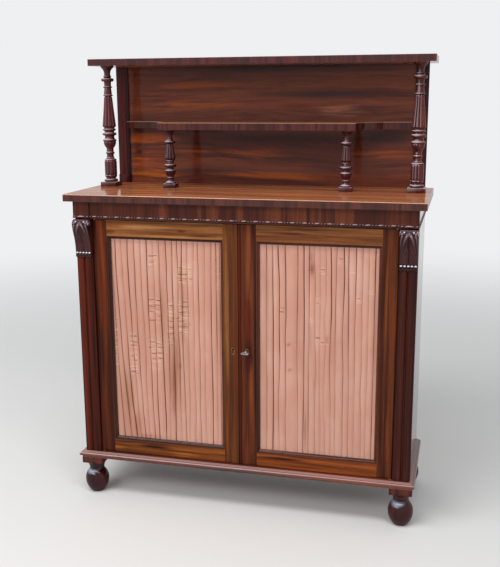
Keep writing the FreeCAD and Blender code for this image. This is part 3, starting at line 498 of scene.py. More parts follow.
def carved_relief(across, z):
    """How far the carving stands out, and how much painted highlight it takes (below 0.4 it goes darker), at
    a place across (-1 to 1) and up.
    """
    side = abs(across) * corbel_half
    leaf = smooth_step(leaf_foot, leaf_foot + 4, z) * (1 - smooth_step(corbel_top - 6, corbel_top - 2, z))
    high = smooth_step(835, 895, z)
    rib = rib_out * math.exp(-(side - rib_side) ** 2)
    off_rib = smooth_step(3.2, 5.4, side)
    droop = 0.06 * side ** 2 + 0.3 * side
    turn = (z + droop - 812) / (17.0 + 7.0 * high)
    plume = abs(math.sin(math.pi * turn)) ** 0.8
    blade = off_rib * (0.5 + (0.6 + 1.1 * high) * plume)
    relief = leaf * max(rib, blade)
    # Painted highlight on the crests of the leaf's blades, darker between them, more on the top plumes; the
    # eyes and the top brow are painted pale too.
    worn = leaf * (0.36 + off_rib * (plume ** 3 - 0.4) * (0.22 + 0.7 * high ** 2))
    worn += 0.9 * smooth_step(885, 903, z) * plume ** 2
    eye = math.hypot(side - eye_side, z - eye_z)
    if eye < eye_r:
        relief = max(relief * smooth_step(3.5, eye_r, eye), 2.3 * math.sqrt(max(0.0, 1 - (eye / 4.4) ** 2)))
        worn = 1.1 * smooth_step(eye_r, 2.0, eye)
    if z < collar_top:
        lobe = abs(math.cos(math.pi * 2.5 * across)) ** 0.6
        relief = 1.4 * lobe * smooth_step(corbel_foot, corbel_foot + 2, z)
        relief *= 1 - smooth_step(collar_top - 1.4, collar_top, z)
        worn = 0.36 * lobe
    if z > corbel_top - 4:
        worn = 0.7
    return min(relief, most_relief), min(1.5, max(0.0, worn))


def corbel(name, middle):
    x0, x1 = middle - corbel_half, middle + corbel_half
    line = np.array(corbel_line)
    run = np.gradient(line, axis=0)
    out = np.stack([run[:, 1], -run[:, 0]], 1)
    out /= np.linalg.norm(out, axis=1)[:, None]
    out *= np.where(out[:, :1] > 0, -1, 1)
    columns, rows = 97, len(line)
    verts, faces, crest = [], [], []
    for (y, z), (oy, oz) in zip(line, out):
        for k in range(columns):
            across = 2 * k / (columns - 1) - 1
            out_by, worn = carved_relief(across, z) if y < corbel_back - 4 else (0.0, plain_highlight)
            out_by *= min(1.0, (1 - abs(across)) * 30)
            x = x0 + (x1 - x0) * k / (columns - 1)
            verts.append((x * MM, (y + oy * out_by) * MM, (z + oz * out_by) * MM))
            crest.append(worn)
    low = len(verts)
    for y, z in line:
        verts += [(x0 * MM, corbel_back * MM, z * MM), (x1 * MM, corbel_back * MM, z * MM)]
        crest += [plain_highlight, plain_highlight]
    for i in range(rows - 1):
        a, b = i * columns, low + 2 * i
        c = a + columns - 1
        faces += [(k, k + 1, k + columns + 1, k + columns) for k in range(a, c)]
        faces += [(a, a + columns, b + 2, b), (c + columns, c, b + 1, b + 3), (b, b + 2, b + 3, b + 1)]
    a, b = (rows - 1) * columns, low + 2 * (rows - 1)
    faces.append([a + k for k in range(columns)] + [b + 1, b])
    shapes = [(verts, faces)]
    for k in range(row_beads):
        ball = bmesh.new()
        bmesh.ops.create_uvsphere(ball, u_segments=20, v_segments=12, radius=row_r * MM)
        centre = Vector((x0 + (k + 0.5) * (x1 - x0) / row_beads, row_y, row_z)) * MM
        ball.verts.index_update()
        faces = [[v.index for v in face.verts] for face in ball.faces]
        shapes.append(([v.co + centre for v in ball.verts], faces))
        # Each bead takes a painted highlight on its upper front.
        crest += [0.3 + 1.2 * smooth_step(0.0, 0.0032, v.co.z - v.co.y * 0.4) for v in ball.verts]
        ball.free()
    wooden_piece(name, "_carved", corbel_finish, shapes, crest)


corbel("corbel_right", 497.0)
corbel("corbel_left", -497.0)


# ------------ bead-and-reel moulding
# A thin strip carved with a long bead and two reels over and over, planted under the frieze, round its
# end blocks and back along the sides.

bead_sizes = {"Bead length": 18.0, "Bead radius": 3.7, "Reel length": 5.2, "Reel radius": 3.1, "Gap": 2.2,
              "Strip height": 6.2, "Strip thickness": 1.2}
bead_tree = bpy.data.node_groups.new("bead_and_reel", "GeometryNodeTree")
bead_sockets = {}
for name, kind in {"Runs": "Geometry", **dict.fromkeys(bead_sizes, "Float"), "Finish": "Material"}.items():
    socket = bead_tree.interface.new_socket(name=name, in_out="INPUT", socket_type="NodeSocket" + kind)
    bead_sockets[name] = socket.identifier
bead_tree.interface.new_socket(name="Moulding", in_out="OUTPUT", socket_type="NodeSocketGeometry")
bead_in = add(bead_tree, "NodeGroupInput")
runs, bead_l, bead_r, reel_l, reel_r, gap, strip_h, strip_t, bead_finish = (
    Wire(bead_in, name) for name in bead_sockets)


def bead_step(kind, given=None, **settings):
    return Wire(add(bead_tree, kind, given, **settings))


def half_bead(length, radius, at, rings, sides):
    """A long half-round bead with its poles on the strip's line and its back open."""
    ball = bead_step("GeometryNodeMeshUVSphere", {"Segments": sides, "Rings": rings, "Radius": 1.0})
    size = bead_step("ShaderNodeCombineXYZ", {0: radius, 1: radius, 2: length * 0.5})
    shaped = bead_step("GeometryNodeTransform", {"Geometry": ball, "Scale": size})
    place = bead_step("ShaderNodeCombineXYZ", {0: at})
    laid = bead_step("GeometryNodeTransform",
                     {"Geometry": shaped, "Translation": place, "Rotation": (0.0, math.pi / 2, 0.0)})
    depth = apart(bead_step("GeometryNodeInputPosition"))[1]
    behind = bead_step("FunctionNodeCompare", {0: depth, 1: 0.00005}, operation="GREATER_THAN")
    cut = bead_step("GeometryNodeDeleteGeometry", {"Geometry": laid, "Selection": behind}, domain="FACE")
    return bead_step("GeometryNodeSetShadeSmooth", {"Geometry": cut})


period = bead_l + (reel_l * 2.0 + gap * 3.0)
reel_at = (bead_l + (reel_l + gap * 2.0)) * 0.5
strip_size = bead_step("ShaderNodeCombineXYZ", {0: period, 1: strip_t, 2: strip_h})
strip = bead_step("GeometryNodeMeshCube", {"Size": strip_size})
strip_back = bead_step("ShaderNodeCombineXYZ", {1: strip_t * -0.5})
unit = add(bead_tree, "GeometryNodeJoinGeometry")
for made in (bead_step("GeometryNodeTransform", {"Geometry": strip, "Translation": strip_back}),
             half_bead(bead_l, bead_r, 0.0, 10, 16), half_bead(reel_l, reel_r, reel_at, 6, 12),
             half_bead(reel_l, reel_r, reel_at * -1.0, 6, 12)):
    put(unit, {0: made})
length = bead_step("GeometryNodeSplineLength")
count = maths("MAXIMUM", 1.0, maths("ROUND", length / period))
pitch = length / count
held = add(bead_tree, "GeometryNodeCaptureAttribute", {"Geometry": runs}, domain="CURVE")
held.capture_items.new("FLOAT", "Stretch")
put(held, {"Stretch": pitch / period})
inset = pitch * 0.499
ends = {"Curve": Wire(held), 4: inset, 5: length - inset}
trimmed = bead_step("GeometryNodeTrimCurve", ends, mode="LENGTH")
spots = add(bead_tree, "GeometryNodeCurveToPoints", {"Curve": trimmed, "Count": count}, mode="COUNT")
heading = bead_step("FunctionNodeAlignRotationToVector", {"Vector": Wire(spots, "Tangent")},
                    axis="X", pivot_axis="Z")
stretch = bead_step("ShaderNodeCombineXYZ", {0: Wire(held, "Stretch"), 1: 1.0, 2: 1.0})
copies = bead_step("GeometryNodeInstanceOnPoints", {"Points": Wire(spots), "Instance": Wire(unit),
                                                    "Rotation": heading, "Scale": stretch})
solid = bead_step("GeometryNodeRealizeInstances", {"Geometry": copies})
finished = bead_step("GeometryNodeSetMaterial", {"Geometry": solid, "Material": bead_finish})
add(bead_tree, "NodeGroupOutput", {0: finished})

bead_z, block_y, frieze_y, rear_y, outer_x, inner_x = 917.2, -182.5, -178.5, 175, 523, 471
bead_runs = bpy.data.curves.new("bead_runs", "CURVE")
bead_runs.dimensions = "3D"
for start, end in (((-outer_x, rear_y), (-outer_x, block_y)), ((-outer_x, block_y), (-inner_x, block_y)),
                   ((-inner_x, frieze_y), (inner_x, frieze_y)), ((inner_x, block_y), (outer_x, block_y)),
                   ((outer_x, block_y), (outer_x, rear_y))):
    spline = bead_runs.splines.new("POLY")
    spline.points.add(1)
    for point, (x, y) in zip(spline.points, (start, end)):
        point.co = (x * MM, y * MM, bead_z * MM, 1)
bead_path = placed("bead_path", bead_runs)
bead_maker = bead_path.modifiers.new("beads", "NODES")
bead_maker.node_group = bead_tree
for name, size in bead_sizes.items():
    bead_maker[bead_sockets[name]] = size * MM
# The beads and reels take painted highlights, pale, on their upward crests.
bead_maker[bead_sockets["Finish"]] = painted_highlight_rosewood("bead_polish", corbel_wood, 45.0, (200, 168, 162),
                                                    0.4, 0.85, 0.5, 0.2)
ready = bead_path.evaluated_get(bpy.context.evaluated_depsgraph_get())
bead_mesh = bpy.data.meshes.new_from_object(ready)
bpy.data.objects.remove(bead_path)
fitted("bead_and_reel", bead_mesh, "root", "bead_moulding")


# ------------ door frames
# Each door is a tenoned frame of two stiles and two rails, picked for lively colour, with a thin
# moulding round the panel. The right door carries a rounded bead down its meeting edge.

blackish = (36, 14, 10)
door_woods = {
    "left_door_hinge_stile": (
        "Z", ((116, 50, 20), (84, 32, 14), (44, 16, 10), 26, 60, 0.4, 0.012), 51,
        # The first patch is painted shade along the stile's edge beside the pilaster.
        [(-464, 560, 8, 300, blackish), (-441, 820, 10, 110, (118, 54, 26)),
         (-452, 480, 6, 120, (60, 20, 12))]),
    "left_door_meeting_stile": (
        "Z", ((124, 74, 34), (104, 54, 25), (62, 30, 14), 34, 64, 0.36, 0.01), 53,
        [(-13, 520, 6, 420, (98, 42, 22)), (-40, 620, 8, 260, (136, 86, 46)),
         (-37, 260, 13, 150, (134, 68, 30))]),
    "left_door_top_rail": (
        "X", ((176, 118, 66), (140, 82, 42), (76, 38, 18), 34, 46, 0.3, 0.02), 55,
        [(-300, 886, 90, 10, (186, 130, 80)), (-180, 880, 18, 6, (92, 50, 28)),
         (-120, 868, 60, 5, (96, 50, 26)), (-415, 872, 26, 8, (112, 60, 30))]),
    "left_door_bottom_rail": (
        "X", ((150, 82, 32), (98, 46, 20), (50, 20, 10), 34, 50, 0.36, 0.02), 57,
        [(-430, 166, 46, 10, (182, 106, 44)), (-190, 160, 50, 7, (182, 106, 44)),
         (-290, 176, 60, 7, blackish)]),
    "right_door_hinge_stile": (
        "Z", ((116, 58, 28), (84, 38, 20), (44, 18, 10), 30, 66, 0.42, 0.012), 58,
        [(446, 260, 8, 120, (134, 60, 24)), (436, 700, 4, 160, (128, 66, 30))]),
    "right_door_meeting_stile": (
        "Z", ((116, 56, 26), (82, 34, 18), (42, 16, 10), 26, 52, 0.36, 0.012), 69,
        [(32, 800, 14, 150, (124, 64, 34)), (24, 610, 14, 60, (98, 34, 20)), (28, 500, 12, 60, (66, 20, 14)),
         # The last patch is painted shade down the stile's inner edge beside the panel moulding.
         (34, 380, 7, 90, (130, 64, 28)), (49, 500, 6, 500, blackish)]),
    "right_door_top_rail": (
        "X", ((156, 98, 54), (120, 68, 38), (66, 32, 18), 30, 50, 0.36, 0.015), 63,
        [(330, 872, 90, 6, (164, 92, 46)), (160, 884, 60, 4, (84, 44, 26))]),
    "right_door_bottom_rail": (
        "X", ((160, 82, 32), (124, 58, 24), (56, 22, 10), 34, 52, 0.32, 0.015), 65,
        [(130, 178, 80, 5, blackish), (330, 168, 120, 7, (170, 88, 36))]),
}
for name, (grain, wood, seed, patches) in door_woods.items():
    rosewood(grain, wood, seed, 0.22, 0.12, name, patches=patches)
rosewood("Z", pilaster_wood, 67.0, 0.15, 0.15, "astragal_bead")


def framing_rosewood(name, wood, seed, x_mid, z_mid, half_x, half_z):
    """Grain along each of the four lengths of a panel's moulding, changing at the mitres."""
    made, tree, shader = start_material(name + "_polish")
    level, line = figure(tree, "X", wood, seed)
    upright, _ = figure(tree, "Z", wood, seed + 3)
    x, _, z = apart(coordinate(tree))
    past_side = maths("ABSOLUTE", x - x_mid) - half_x
    past_end = maths("ABSOLUTE", z - z_mid) - half_z
    polish(shader, blended(spread(past_side - past_end, -mitre, mitre), level, upright), line, 0.5, 0.12)
    dress(made, name)


moulding_wood = ((100, 50, 30), (72, 34, 24), (36, 18, 16), 20, 60, 0.5, 0.01)
for side, sign in (("left", -1), ("right", 1)):
    framing_rosewood(side + "_door_panel_moulding", moulding_wood, 71 + sign,
                     sign * 0.237, 0.5245, 0.1765, 0.3245)
    plain_wood("Z", 8.0 + sign, side + "_door_backboard")


# ------------ pleated silk
# A length of dusty pink silk fills each door, tacked in folds over a thin board. It has perished here
# and there: short splits run across some of the pleats.

def silk_material(name, seed):
    made, tree, shader = start_material(name)
    place = coordinate(tree)
    pleat, marks = (Wire(add(tree, "ShaderNodeAttribute", attribute_name=mark), "Vector")
                    for mark in ("pleat", "marks"))
    number, height, depth = apart(pleat)
    frail, stained, shaded = apart(marks)
    fade = noise(place * (9, 9, 5), 3, 0.55)
    weft = noise(place * (60, 60, 1100), 2, 0.6)
    warp = noise(place * (1300, 300, 24), 3, 0.6)
    colour = blended(spread(fade, 0.3, 0.7), (202, 149, 131), (215, 166, 148))
    colour = tinted(colour, warp, 0.4, 0.75, 0.3, (190, 132, 112))
    colour = tinted(colour, weft, 0.45, 0.8, 0.25, (186, 130, 112))
    colour = tinted(colour, noise(pleat * (0.37, 5.0, 0), 2), 0.4, 0.7, 0.5, (196, 140, 120))
    across = maths("FRACT", number)
    sides = spread(maths("ABSOLUTE", across - 0.62), 0.1, 0.5, 0.45, 1.0)
    colour = blended(shaded * sides, colour, (150, 98, 72))
    thread = spread(noise(place * (30, 30, 620), 1), 0.5, 0.62)
    colour = blended(maths("MINIMUM", frail, 0.7) * thread, colour, (226, 184, 160))
    # Painted shade on the right side of each pleat.
    colour = tinted(colour, across, 0.45, 0.95, 0.3, (176, 120, 98))
    # Painted shade in the creases, darker the deeper the fold.
    colour = tinted(colour, depth, 0.14, 0.5, 0.85, (98, 46, 34))
    ragged = noise(place * (240, 0, 420), 3)
    run = height * 58.0 + ragged * 0.35
    cell = add(tree, "ShaderNodeCombineXYZ", {0: maths("FLOOR", number), 1: maths("FLOOR", run), 2: seed})
    chance = add(tree, "ShaderNodeTexWhiteNoise", {"Vector": Wire(cell)})
    first, second, third = apart(Wire(chance, "Color"))
    torn = maths("LESS_THAN", Wire(chance, "Value"), frail)
    off_middle = maths("ABSOLUTE", maths("FRACT", run) - (first * 0.7 + 0.15))
    slit = spread(off_middle / (second * 0.06 + 0.03), 1.2, 0.7)
    start = third * 0.3
    end = start + (second * 0.5 + 0.5)
    slit = slit * spread(across - start, 0.0, 0.06) * spread(across - end, 0.06, 0.0) * torn
    colour = blended(slit * 0.75, colour, (112, 56, 42))
    colour = blended(stained * spread(ragged, 0.3, 0.6, 0.4, 1.0), colour, (124, 62, 42))
    put(shader, {"Base Color": colour, "Roughness": 0.6, "Specular IOR Level": 0.05,
                 "Normal": bumped(warp + weft - slit * 2.0, 0.3, 0.0003)})
    return made


# A fold's section, from one crease to the next: how far across (share of the pleat, then millimetres)
# and how deep behind the front.
fold = [(0, 0.2, 4.7), (0, 0.4, 3.2), (0, 0.9, 2.2), (0, 1.7, 1.3), (0.16, 0, 0.7), (0.32, 0, 0.2),
        (0.52, 0, 0.0), (0.70, 0, 0.15), (0.86, 0, 0.5), (1, -1.3, 1.0), (1, -0.5, 1.5), (1, 0.1, 2.2),
        (1, 0.0, 2.8), (1, -1.0, 3.5), (1, -2.8, 3.9), (1, -4.4, 4.3), (1, -4.9, 4.8), (1, -3.6, 5.2),
        (1, -1.2, 5.1)]
silk_top, silk_foot, silk_front, silk_rows = 857.2, 191.8, -154.15, 84
edge_pleat, least_pleat = 2, 6.5
nails_hold, nails_reach = 0.6, 9.0
crease_drift, depth_drift = 2.2, 0.25
fold_depth, slack_depth, ripple = 5.2, 0.9, 0.22


def wander(rng, count, reach):
    """Slow drift of a value along each crease, from foot to top."""
    t = np.linspace(0, 1, silk_rows)
    drift = np.zeros((count, silk_rows))
    for k in range(count):
        for waves in (0.6, 1.3, 2.6, 5.0):
            drift[k] += rng.normal(0, reach / (1 + waves)) * np.sin(2 * np.pi * (waves * t + rng.random()))
    return drift


def within(value, low, high, ease):
    return min(1.0, max(0.0, (value - low) / ease + 0.5)) * min(1.0, max(0.0, (high - value) / ease + 0.5))


def darkest(spots, x, z):
    return max([0.0] + [much * math.exp(-((x - a) / wide) ** 2 - ((z - c) / tall) ** 2)
                        for a, c, wide, tall, much in spots])


def silk_panel(side, x0, x1, seed, creases, lean, frail, stains, shades):
    """A crease is (x, how sharp at the foot and at the top).
    A frail spot is (x0, x1, z0, z1, how torn), a stain or shade (x, z, half width, half height, how dark).
    """
    rng = np.random.default_rng(seed)
    creases = [(x0 + edge_pleat, 0.6, 0.6)] + creases + [(x1 - edge_pleat, 0.6, 0.6)]
    pleats = len(creases) - 1
    at, sharp_foot, sharp_top = (np.array(values)[:, None] for values in zip(*creases))
    rows = np.linspace(silk_foot, silk_top, silk_rows)
    up = ((rows - silk_foot) / (silk_top - silk_foot))[None, :]
    edges = (at - x0) / (x1 - x0)
    inside = np.minimum(1, 6 * np.minimum(edges, 1 - edges))
    crease = at + wander(rng, pleats + 1, crease_drift) * inside + lean(edges, up)
    for k in range(1, pleats + 1):
        crease[k] = np.maximum(crease[k], crease[k - 1] + least_pleat)
    crease -= np.maximum(0, crease[-1] - (x1 - edge_pleat))[None, :] * edges
    usual = sharp_foot + (sharp_top - sharp_foot) * up
    nailed = 1 - nails_hold * np.exp((rows - silk_top) / nails_reach)[None, :]
    strength = np.clip(usual * nailed + wander(rng, pleats + 1, depth_drift), 0.08, 1.0)
    verts, pleat, marks = [], [], []
    for r, z in enumerate(rows):
        for k in range(pleats):
            left, right = crease[k, r], crease[k + 1, r]
            for share, extra, deep in fold:
                power = strength[k, r] * (1 - share) + strength[k + 1, r] * share
                x = left + (right - left) * share + extra * (0.4 + 0.6 * power)
                y = deep * power + slack_depth * (1 - power)
                y += ripple * math.sin(z / 23.0 + k * 2.1) * math.sin(z / 61.0 + k) * (1 - deep / fold_depth)
                x = min(max(x, x0 + 0.3), x1 - 0.3)
                verts.append((x * MM, (silk_front + max(0.0, y)) * MM, z * MM))
                pleat.append((k + min(0.999, max(0.0, (x - left) / (right - left))), (z - silk_foot) * MM,
                              min(1.0, deep / 4.0) * power))
                torn = max([0.0] + [much * within(x, a, b, 4.0) * within(z, c, d, 8.0)
                                    for a, b, c, d, much in frail])
                marks.append((torn, darkest(stains, x, z), darkest(shades, x, z)))
    total = pleats * len(fold)
    faces = [(r * total + c, r * total + c + 1, (r + 1) * total + c + 1, (r + 1) * total + c)
             for r in range(silk_rows - 1) for c in range(total - 1)]
    mesh = bpy.data.meshes.new(side + "_silk")
    mesh.from_pydata(verts, [], faces)
    for name, values in (("pleat", pleat), ("marks", marks)):
        layer = mesh.attributes.new(name, "FLOAT_VECTOR", "POINT")
        layer.data.foreach_set("vector", np.array(values, np.float32).ravel())
    mesh.materials.append(silk_material(side + "_silk_cloth", seed * 0.37))
    mesh.polygons.foreach_set("use_smooth", [True] * len(mesh.polygons))
    cloth = fitted(side + "_pleated_silk", mesh, side + "_door", side + "_door_silk")


silk_panel("left", -422.2, -51.8, 7,
           [(-413.5, 0.9, 0.2), (-401, 0.9, 0.7), (-381, 0.9, 0.5), (-361, 0.5, 0.65), (-340, 0.7, 0.75),
            (-318, 0.5, 0.5), (-298, 0.8, 0.9), (-278, 0.7, 0.5), (-256, 0.9, 0.9), (-236, 0.3, 0.8),
            (-217, 0.8, 0.9), (-199, 0.4, 0.9), (-184, 0.6, 0.9), (-168, 0.2, 0.6), (-149, 0.4, 0.5),
            (-132, 0.6, 0.7), (-113, 0.2, 0.4), (-92, 0.9, 0.9), (-76, 0.3, 0.8), (-64, 0.6, 0.6)],
           lambda e, u: 56.0 * (1 - np.exp(-e / 0.04)) * (1 - e) ** 4 * (1 - u) ** 1.8,
           frail=[(-300, -262, 760, 805, 0.5), (-296, -258, 588, 665, 0.8), (-298, -252, 436, 542, 0.75),
                  (-236, -214, 520, 656, 0.7), (-202, -150, 715, 778, 0.7), (-202, -164, 550, 664, 0.8),
                  (-424, -402, 440, 600, 0.9), (-362, -338, 408, 545, 0.7), (-78, -60, 700, 820, 0.3),
                  (-160, -100, 640, 800, 0.06), (-340, -300, 600, 760, 0.06)],
           stains=[(-218, 400, 7, 95, 0.85), (-206, 470, 4, 70, 0.6), (-222, 320, 5, 40, 0.6),
                   (-190, 745, 2.5, 28, 0.8), (-297, 815, 1.8, 45, 0.6), (-198, 452, 6, 5, 0.9)],
           shades=[(-375, 330, 22, 130, 1.0), (-350, 240, 16, 60, 0.9), (-408, 560, 12, 200, 0.6),
                   (-215, 440, 30, 150, 0.8), (-250, 620, 16, 110, 0.7), (-184, 620, 14, 110, 0.8),
                   (-320, 204, 60, 9, 0.8), (-66, 560, 8, 240, 0.6), (-335, 640, 60, 160, 0.3),
                   (-175, 480, 12, 60, 0.5)])
silk_panel("right", 51.8, 422.2, 19,
           [(80, 0.3, 0.9), (99, 1.0, 0.9), (118, 0.3, 0.9), (137.5, 0.5, 0.9), (173.5, 0.4, 0.8),
            (192, 0.9, 0.9), (208.5, 0.2, 0.9), (227, 0.5, 0.3), (242, 0.2, 0.2), (258, 0.2, 0.4),
            (273, 0.3, 0.9), (290, 0.3, 0.4), (311, 0.5, 0.9), (328, 0.6, 0.7), (347, 0.2, 0.8),
            (368, 0.3, 0.5), (385, 0.2, 0.4), (403, 0.7, 0.9)],
           lambda e, u: 5.0 * np.sin(np.pi * e) * (1 - u),
           frail=[(118, 137, 644, 660, 1.0), (208, 226, 616, 632, 1.0), (227, 273, 550, 568, 1.0),
                  (290, 322, 801, 817, 1.0), (328, 347, 774, 790, 1.0), (347, 368, 684, 700, 1.0),
                  (384, 403, 705, 721, 1.0), (240, 258, 768, 784, 1.0), (227, 246, 676, 692, 1.0)],
           stains=[(215, 812, 7, 20, 0.6), (217, 782, 8, 20, 0.95), (202, 275, 2.5, 60, 0.8),
                   (228, 431, 1.8, 25, 0.6), (148, 545, 4, 4, 0.9), (153, 464, 5, 5, 0.7),
                   (265, 568, 4, 8, 0.5), (104, 270, 2, 60, 0.6)],
           shades=[(84, 700, 10, 160, 0.4), (200, 290, 14, 90, 0.5), (410, 560, 9, 240, 0.7),
                   (184, 640, 10, 160, 0.4), (218, 560, 8, 60, 0.5), (280, 620, 14, 160, 0.4),
                   (320, 560, 10, 160, 0.3)])


# ------------ metalwork
# Brass pivots, keyhole surrounds, lock and barrel bolts, toned down with age, a bright steel key, and
# the steel screws that hold the plates.

def metal(name, bright, dull, roughness, seed, *pieces):
    """Metal rubbed bright in patches, on all the pieces that are named."""
    made, tree, shader = start_material(name)
    place = coordinate(tree) + (seed, seed, seed)
    patch = noise(place * (120, 120, 120), 4, 0.6)
    brushed = noise(place * (60, 60, 2200), 2, 0.5)
    put(shader, {"Base Color": blended(spread(patch, 0.4, 0.68), bright, dull), "Metallic": 1.0,
                 "Roughness": spread(patch, 0.3, 0.7, roughness, roughness + 0.22),
                 "Normal": bumped(brushed, 0.15, 0.0001)})
    dress(made, *pieces)


metal("aged_brass", (196, 160, 96), (122, 92, 52), 0.28, 1.0,
      "carcass_pivot_plates", "left_door_pivot_plates", "right_door_pivot_plates", "strike_plate",
      "barrel_bolt_plates", "lock_case", "lock_bolt", "upper_bolt_rod", "lower_bolt_rod")
metal("keyhole_brass", (150, 116, 76), (90, 66, 42), 0.45, 1.5, "left_escutcheon", "right_escutcheon")
metal("screw_steel", (150, 148, 144), (84, 78, 72), 0.35, 2.0,
      "carcass_screws", "left_door_screws", "right_door_screws")
metal("key_steel", (216, 214, 210), (150, 146, 142), 0.22, 3.0, "key")


# ------------ deck, mid shelf and top board
# Three rosewood boards with lively grain along their length. Their edges are crossbanded: strips of
# veneer with the grain upright, so that the edge is streaked from top to bottom.

def banded_board(name, face_wood, edge_wood, seed, shine, top, worn):
    """Grain along the faces and up the edges. top is the height of the upper arris; the last argument is how
    strongly a pale highlight is painted just under it.
    """
    made, tree, shader = start_material(name + "_polish")
    face, line = figure(tree, "X", face_wood, seed)
    edge, _ = figure(tree, "Z", edge_wood, seed + 5)
    below = top * MM - apart(coordinate(tree))[2]
    # Painted highlight: a thin pale line just under the upper arris.
    edge = tinted(edge, below, 0.003, 0.0014, worn, (222, 172, 142))
    level = spread(maths("ABSOLUTE", apart(coordinate(tree, "Normal"))[2]), 0.55, 0.75)
    polish(shader, blended(level, edge, face), line, shine, 0.1)
    dress(made, name)


deck_wood = ((190, 119, 75), (154, 90, 58), (94, 50, 37), 26, 44, 0.34, 0.02)
shelf_wood = ((152, 104, 78), (122, 78, 61), (75, 43, 36), 26, 44, 0.34, 0.02)
band_wood = ((96, 48, 36), (76, 36, 28), (52, 25, 25), 30, 70, 0.4, 0.004)
shelf_band = ((94, 46, 38), (72, 34, 30), (46, 24, 26), 34, 90, 0.42, 0.004)
top_band = ((90, 38, 34), (68, 28, 30), (44, 20, 26), 34, 70, 0.4, 0.004)
banded_board("deck", deck_wood, band_wood, 81.0, 0.6, 988, 0.9)
banded_board("mid_shelf", shelf_wood, shelf_band, 91.0, 0.4, 1196, 0.35)
banded_board("top_board", deck_wood, top_band, 101.0, 0.7, 1394, 0.0)


# ------------ gallery back
# One wide panel with strong wavy figure, between two thin reeded pilasters. Darker and paler clouds
# stand in the figure of its front; the dark bands under the top board and under the mid shelf are painted
# shade.

gallery_wood = ((138, 72, 44), (106, 54, 40), (68, 34, 30), 9, 34, 0.32, 0.06)
gallery_front = 192.0
gallery_patches = [
    (-230, 1310, 120, 15, (164, 80, 34)), (-460, 1262, 26, 22, (124, 54, 32)),
    (230, 1282, 260, 14, (60, 38, 34)), (255, 1228, 88, 18, (238, 152, 114)),
    (100, 1245, 60, 9, (120, 48, 34)), (-270, 1250, 160, 9, (160, 80, 34)),
    # The first patch on the next line is painted shade under the top board.
    (0, 1368, 520, 22, (54, 22, 24)), (-410, 1100, 90, 80, (160, 76, 34)),
    (-445, 1093, 20, 10, (60, 28, 30)), (-400, 1016, 110, 18, (176, 92, 34)),
    (-150, 1090, 200, 20, (160, 80, 38)), (390, 1094, 110, 14, (160, 78, 34)),
    # Both patches on the next line are painted shade cast by the mid shelf.
    (60, 1140, 260, 16, (74, 38, 30)), (400, 1146, 80, 22, (64, 38, 36)),
    (-40, 1016, 260, 14, (160, 82, 38))]
rosewood("X", gallery_wood, 111.0, 0.35, 0.1, "gallery_back", patches=gallery_patches, face=gallery_front)
rear_wood = ((92, 32, 30), (66, 24, 26), (34, 14, 18), 20, 50, 0.4, 0.01)
rosewood("Z", rear_wood, 121.0, 0.3, 0.08, "rear_pilaster_left")
rosewood("Z", rear_wood, 127.0, 0.3, 0.08, "rear_pilaster_right")


# ------------ columns
# Two tall and two short turned columns on square blocks, doweled top and bottom. Their shafts are
# carved into rounded lobes, which end in a ring of soft points, and the tall ones' low drums are reeded.

def lobed_spin(lobes, steps):
    """Angles round a lobed piece, closer together in the valleys, each with its place across a lobe."""
    spin = []
    for lobe in range(lobes):
        for k in range(steps):
            across = math.sin(math.pi / 2 * (2 * k / steps - 1))
            spin.append((2 * math.pi * (lobe + (across + 1) / 2) / lobes, across))
    return spin


def lobe_carver(carved):
    """carved gives (depth, rounded length at the bottom, and at the top, member's height) by member."""
    def carve(ring, across):
        _, r, number, share = ring
        if number not in carved:
            return r
        depth, low, high, tall = carved[number]
        wide = 1.0
        for run, end in ((share * tall, low), ((1 - share) * tall, high)):
            if end:
                wide = min(wide, math.sqrt(max(0.0, 1 - (1 - min(1.0, run / end)) ** 2)))
        return r - depth + depth * math.sqrt(max(0.0, wide ** 2 - across ** 2))
    return carve


tall_members = [
    (9.5, 22.5, 18), (0, 16), (3.5, 16), (7, 19.2, 20), (50, 20), (5, 19, 15), (0, 12), (4, 14, 12),
    (11.5, 11.2, 11.5), (7.5, 14.2, 11.5), (5, 11, 12), (8, 11.2, 12.5), (21, 18.8, 20.5), (6.5, 22.2, 19),
    (12.5, 15.2, 16.5), (9, 22.8, 17), (6, 15.6, 17), (6.5, 21.2, 17.5), (3, 17.5), (7, 21.2, 22),
    (None, 17.2, 13), (5, 15.4, 12.8), (22, 12, 10.5), (4, 14.6, 11), (16, 11.2, 12), (9, 20.2, 12),
    (3, 10.6), (5, 13, 10.3), (5, 10), (21, 11.6, 20), (4.5, 21)]
small_members = [
    (5.5, 18, 15), (8, 10.6, 9.8), (3.5, 10), (4, 12.6, 10.5), (2.5, 10.5), (14.5, 15, 16.5),
    (6, 18.2, 15), (9, 10.4, 12), (9.5, 19.2, 12), (4, 12), (3.5, 11.2), (4.5, 13.6, 12.2),
    (9, 16.4, 17.2), (None, 14.2, 10.5), (5, 9.6, 10), (6, 18, 13), (8, 10.5, 9), (2.5, 8),
    (21, 9.4, 15.5), (4, 16)]
tall_shaft, small_shaft, deck_top, peg_long, peg_r = 371.0, 172.0, 988.0, 12.0, 8.0
tall_free = tall_shaft - sum(m[0] for m in tall_members if m[0])
small_free = small_shaft - sum(m[0] for m in small_members if m[0])
tall_carving = {4: (2.6, 7, 5, 50.0), 12: (1.8, 0, 5, 21.0), 19: (3.6, 7, 0, 7.0),
                20: (3.6, 0, 6, tall_free)}
small_carving = {12: (2.8, 6, 0, 9.0), 13: (2.8, 0, 5, small_free)}
# The columns take pale painted highlights on the up-facing tops of their rings and on the lobes' forward
# faces.
column_highlight = (206, 188, 196)
column_wood = ((92, 28, 28), (58, 18, 22), (28, 10, 16), 16, 44, 0.4, 0.01)
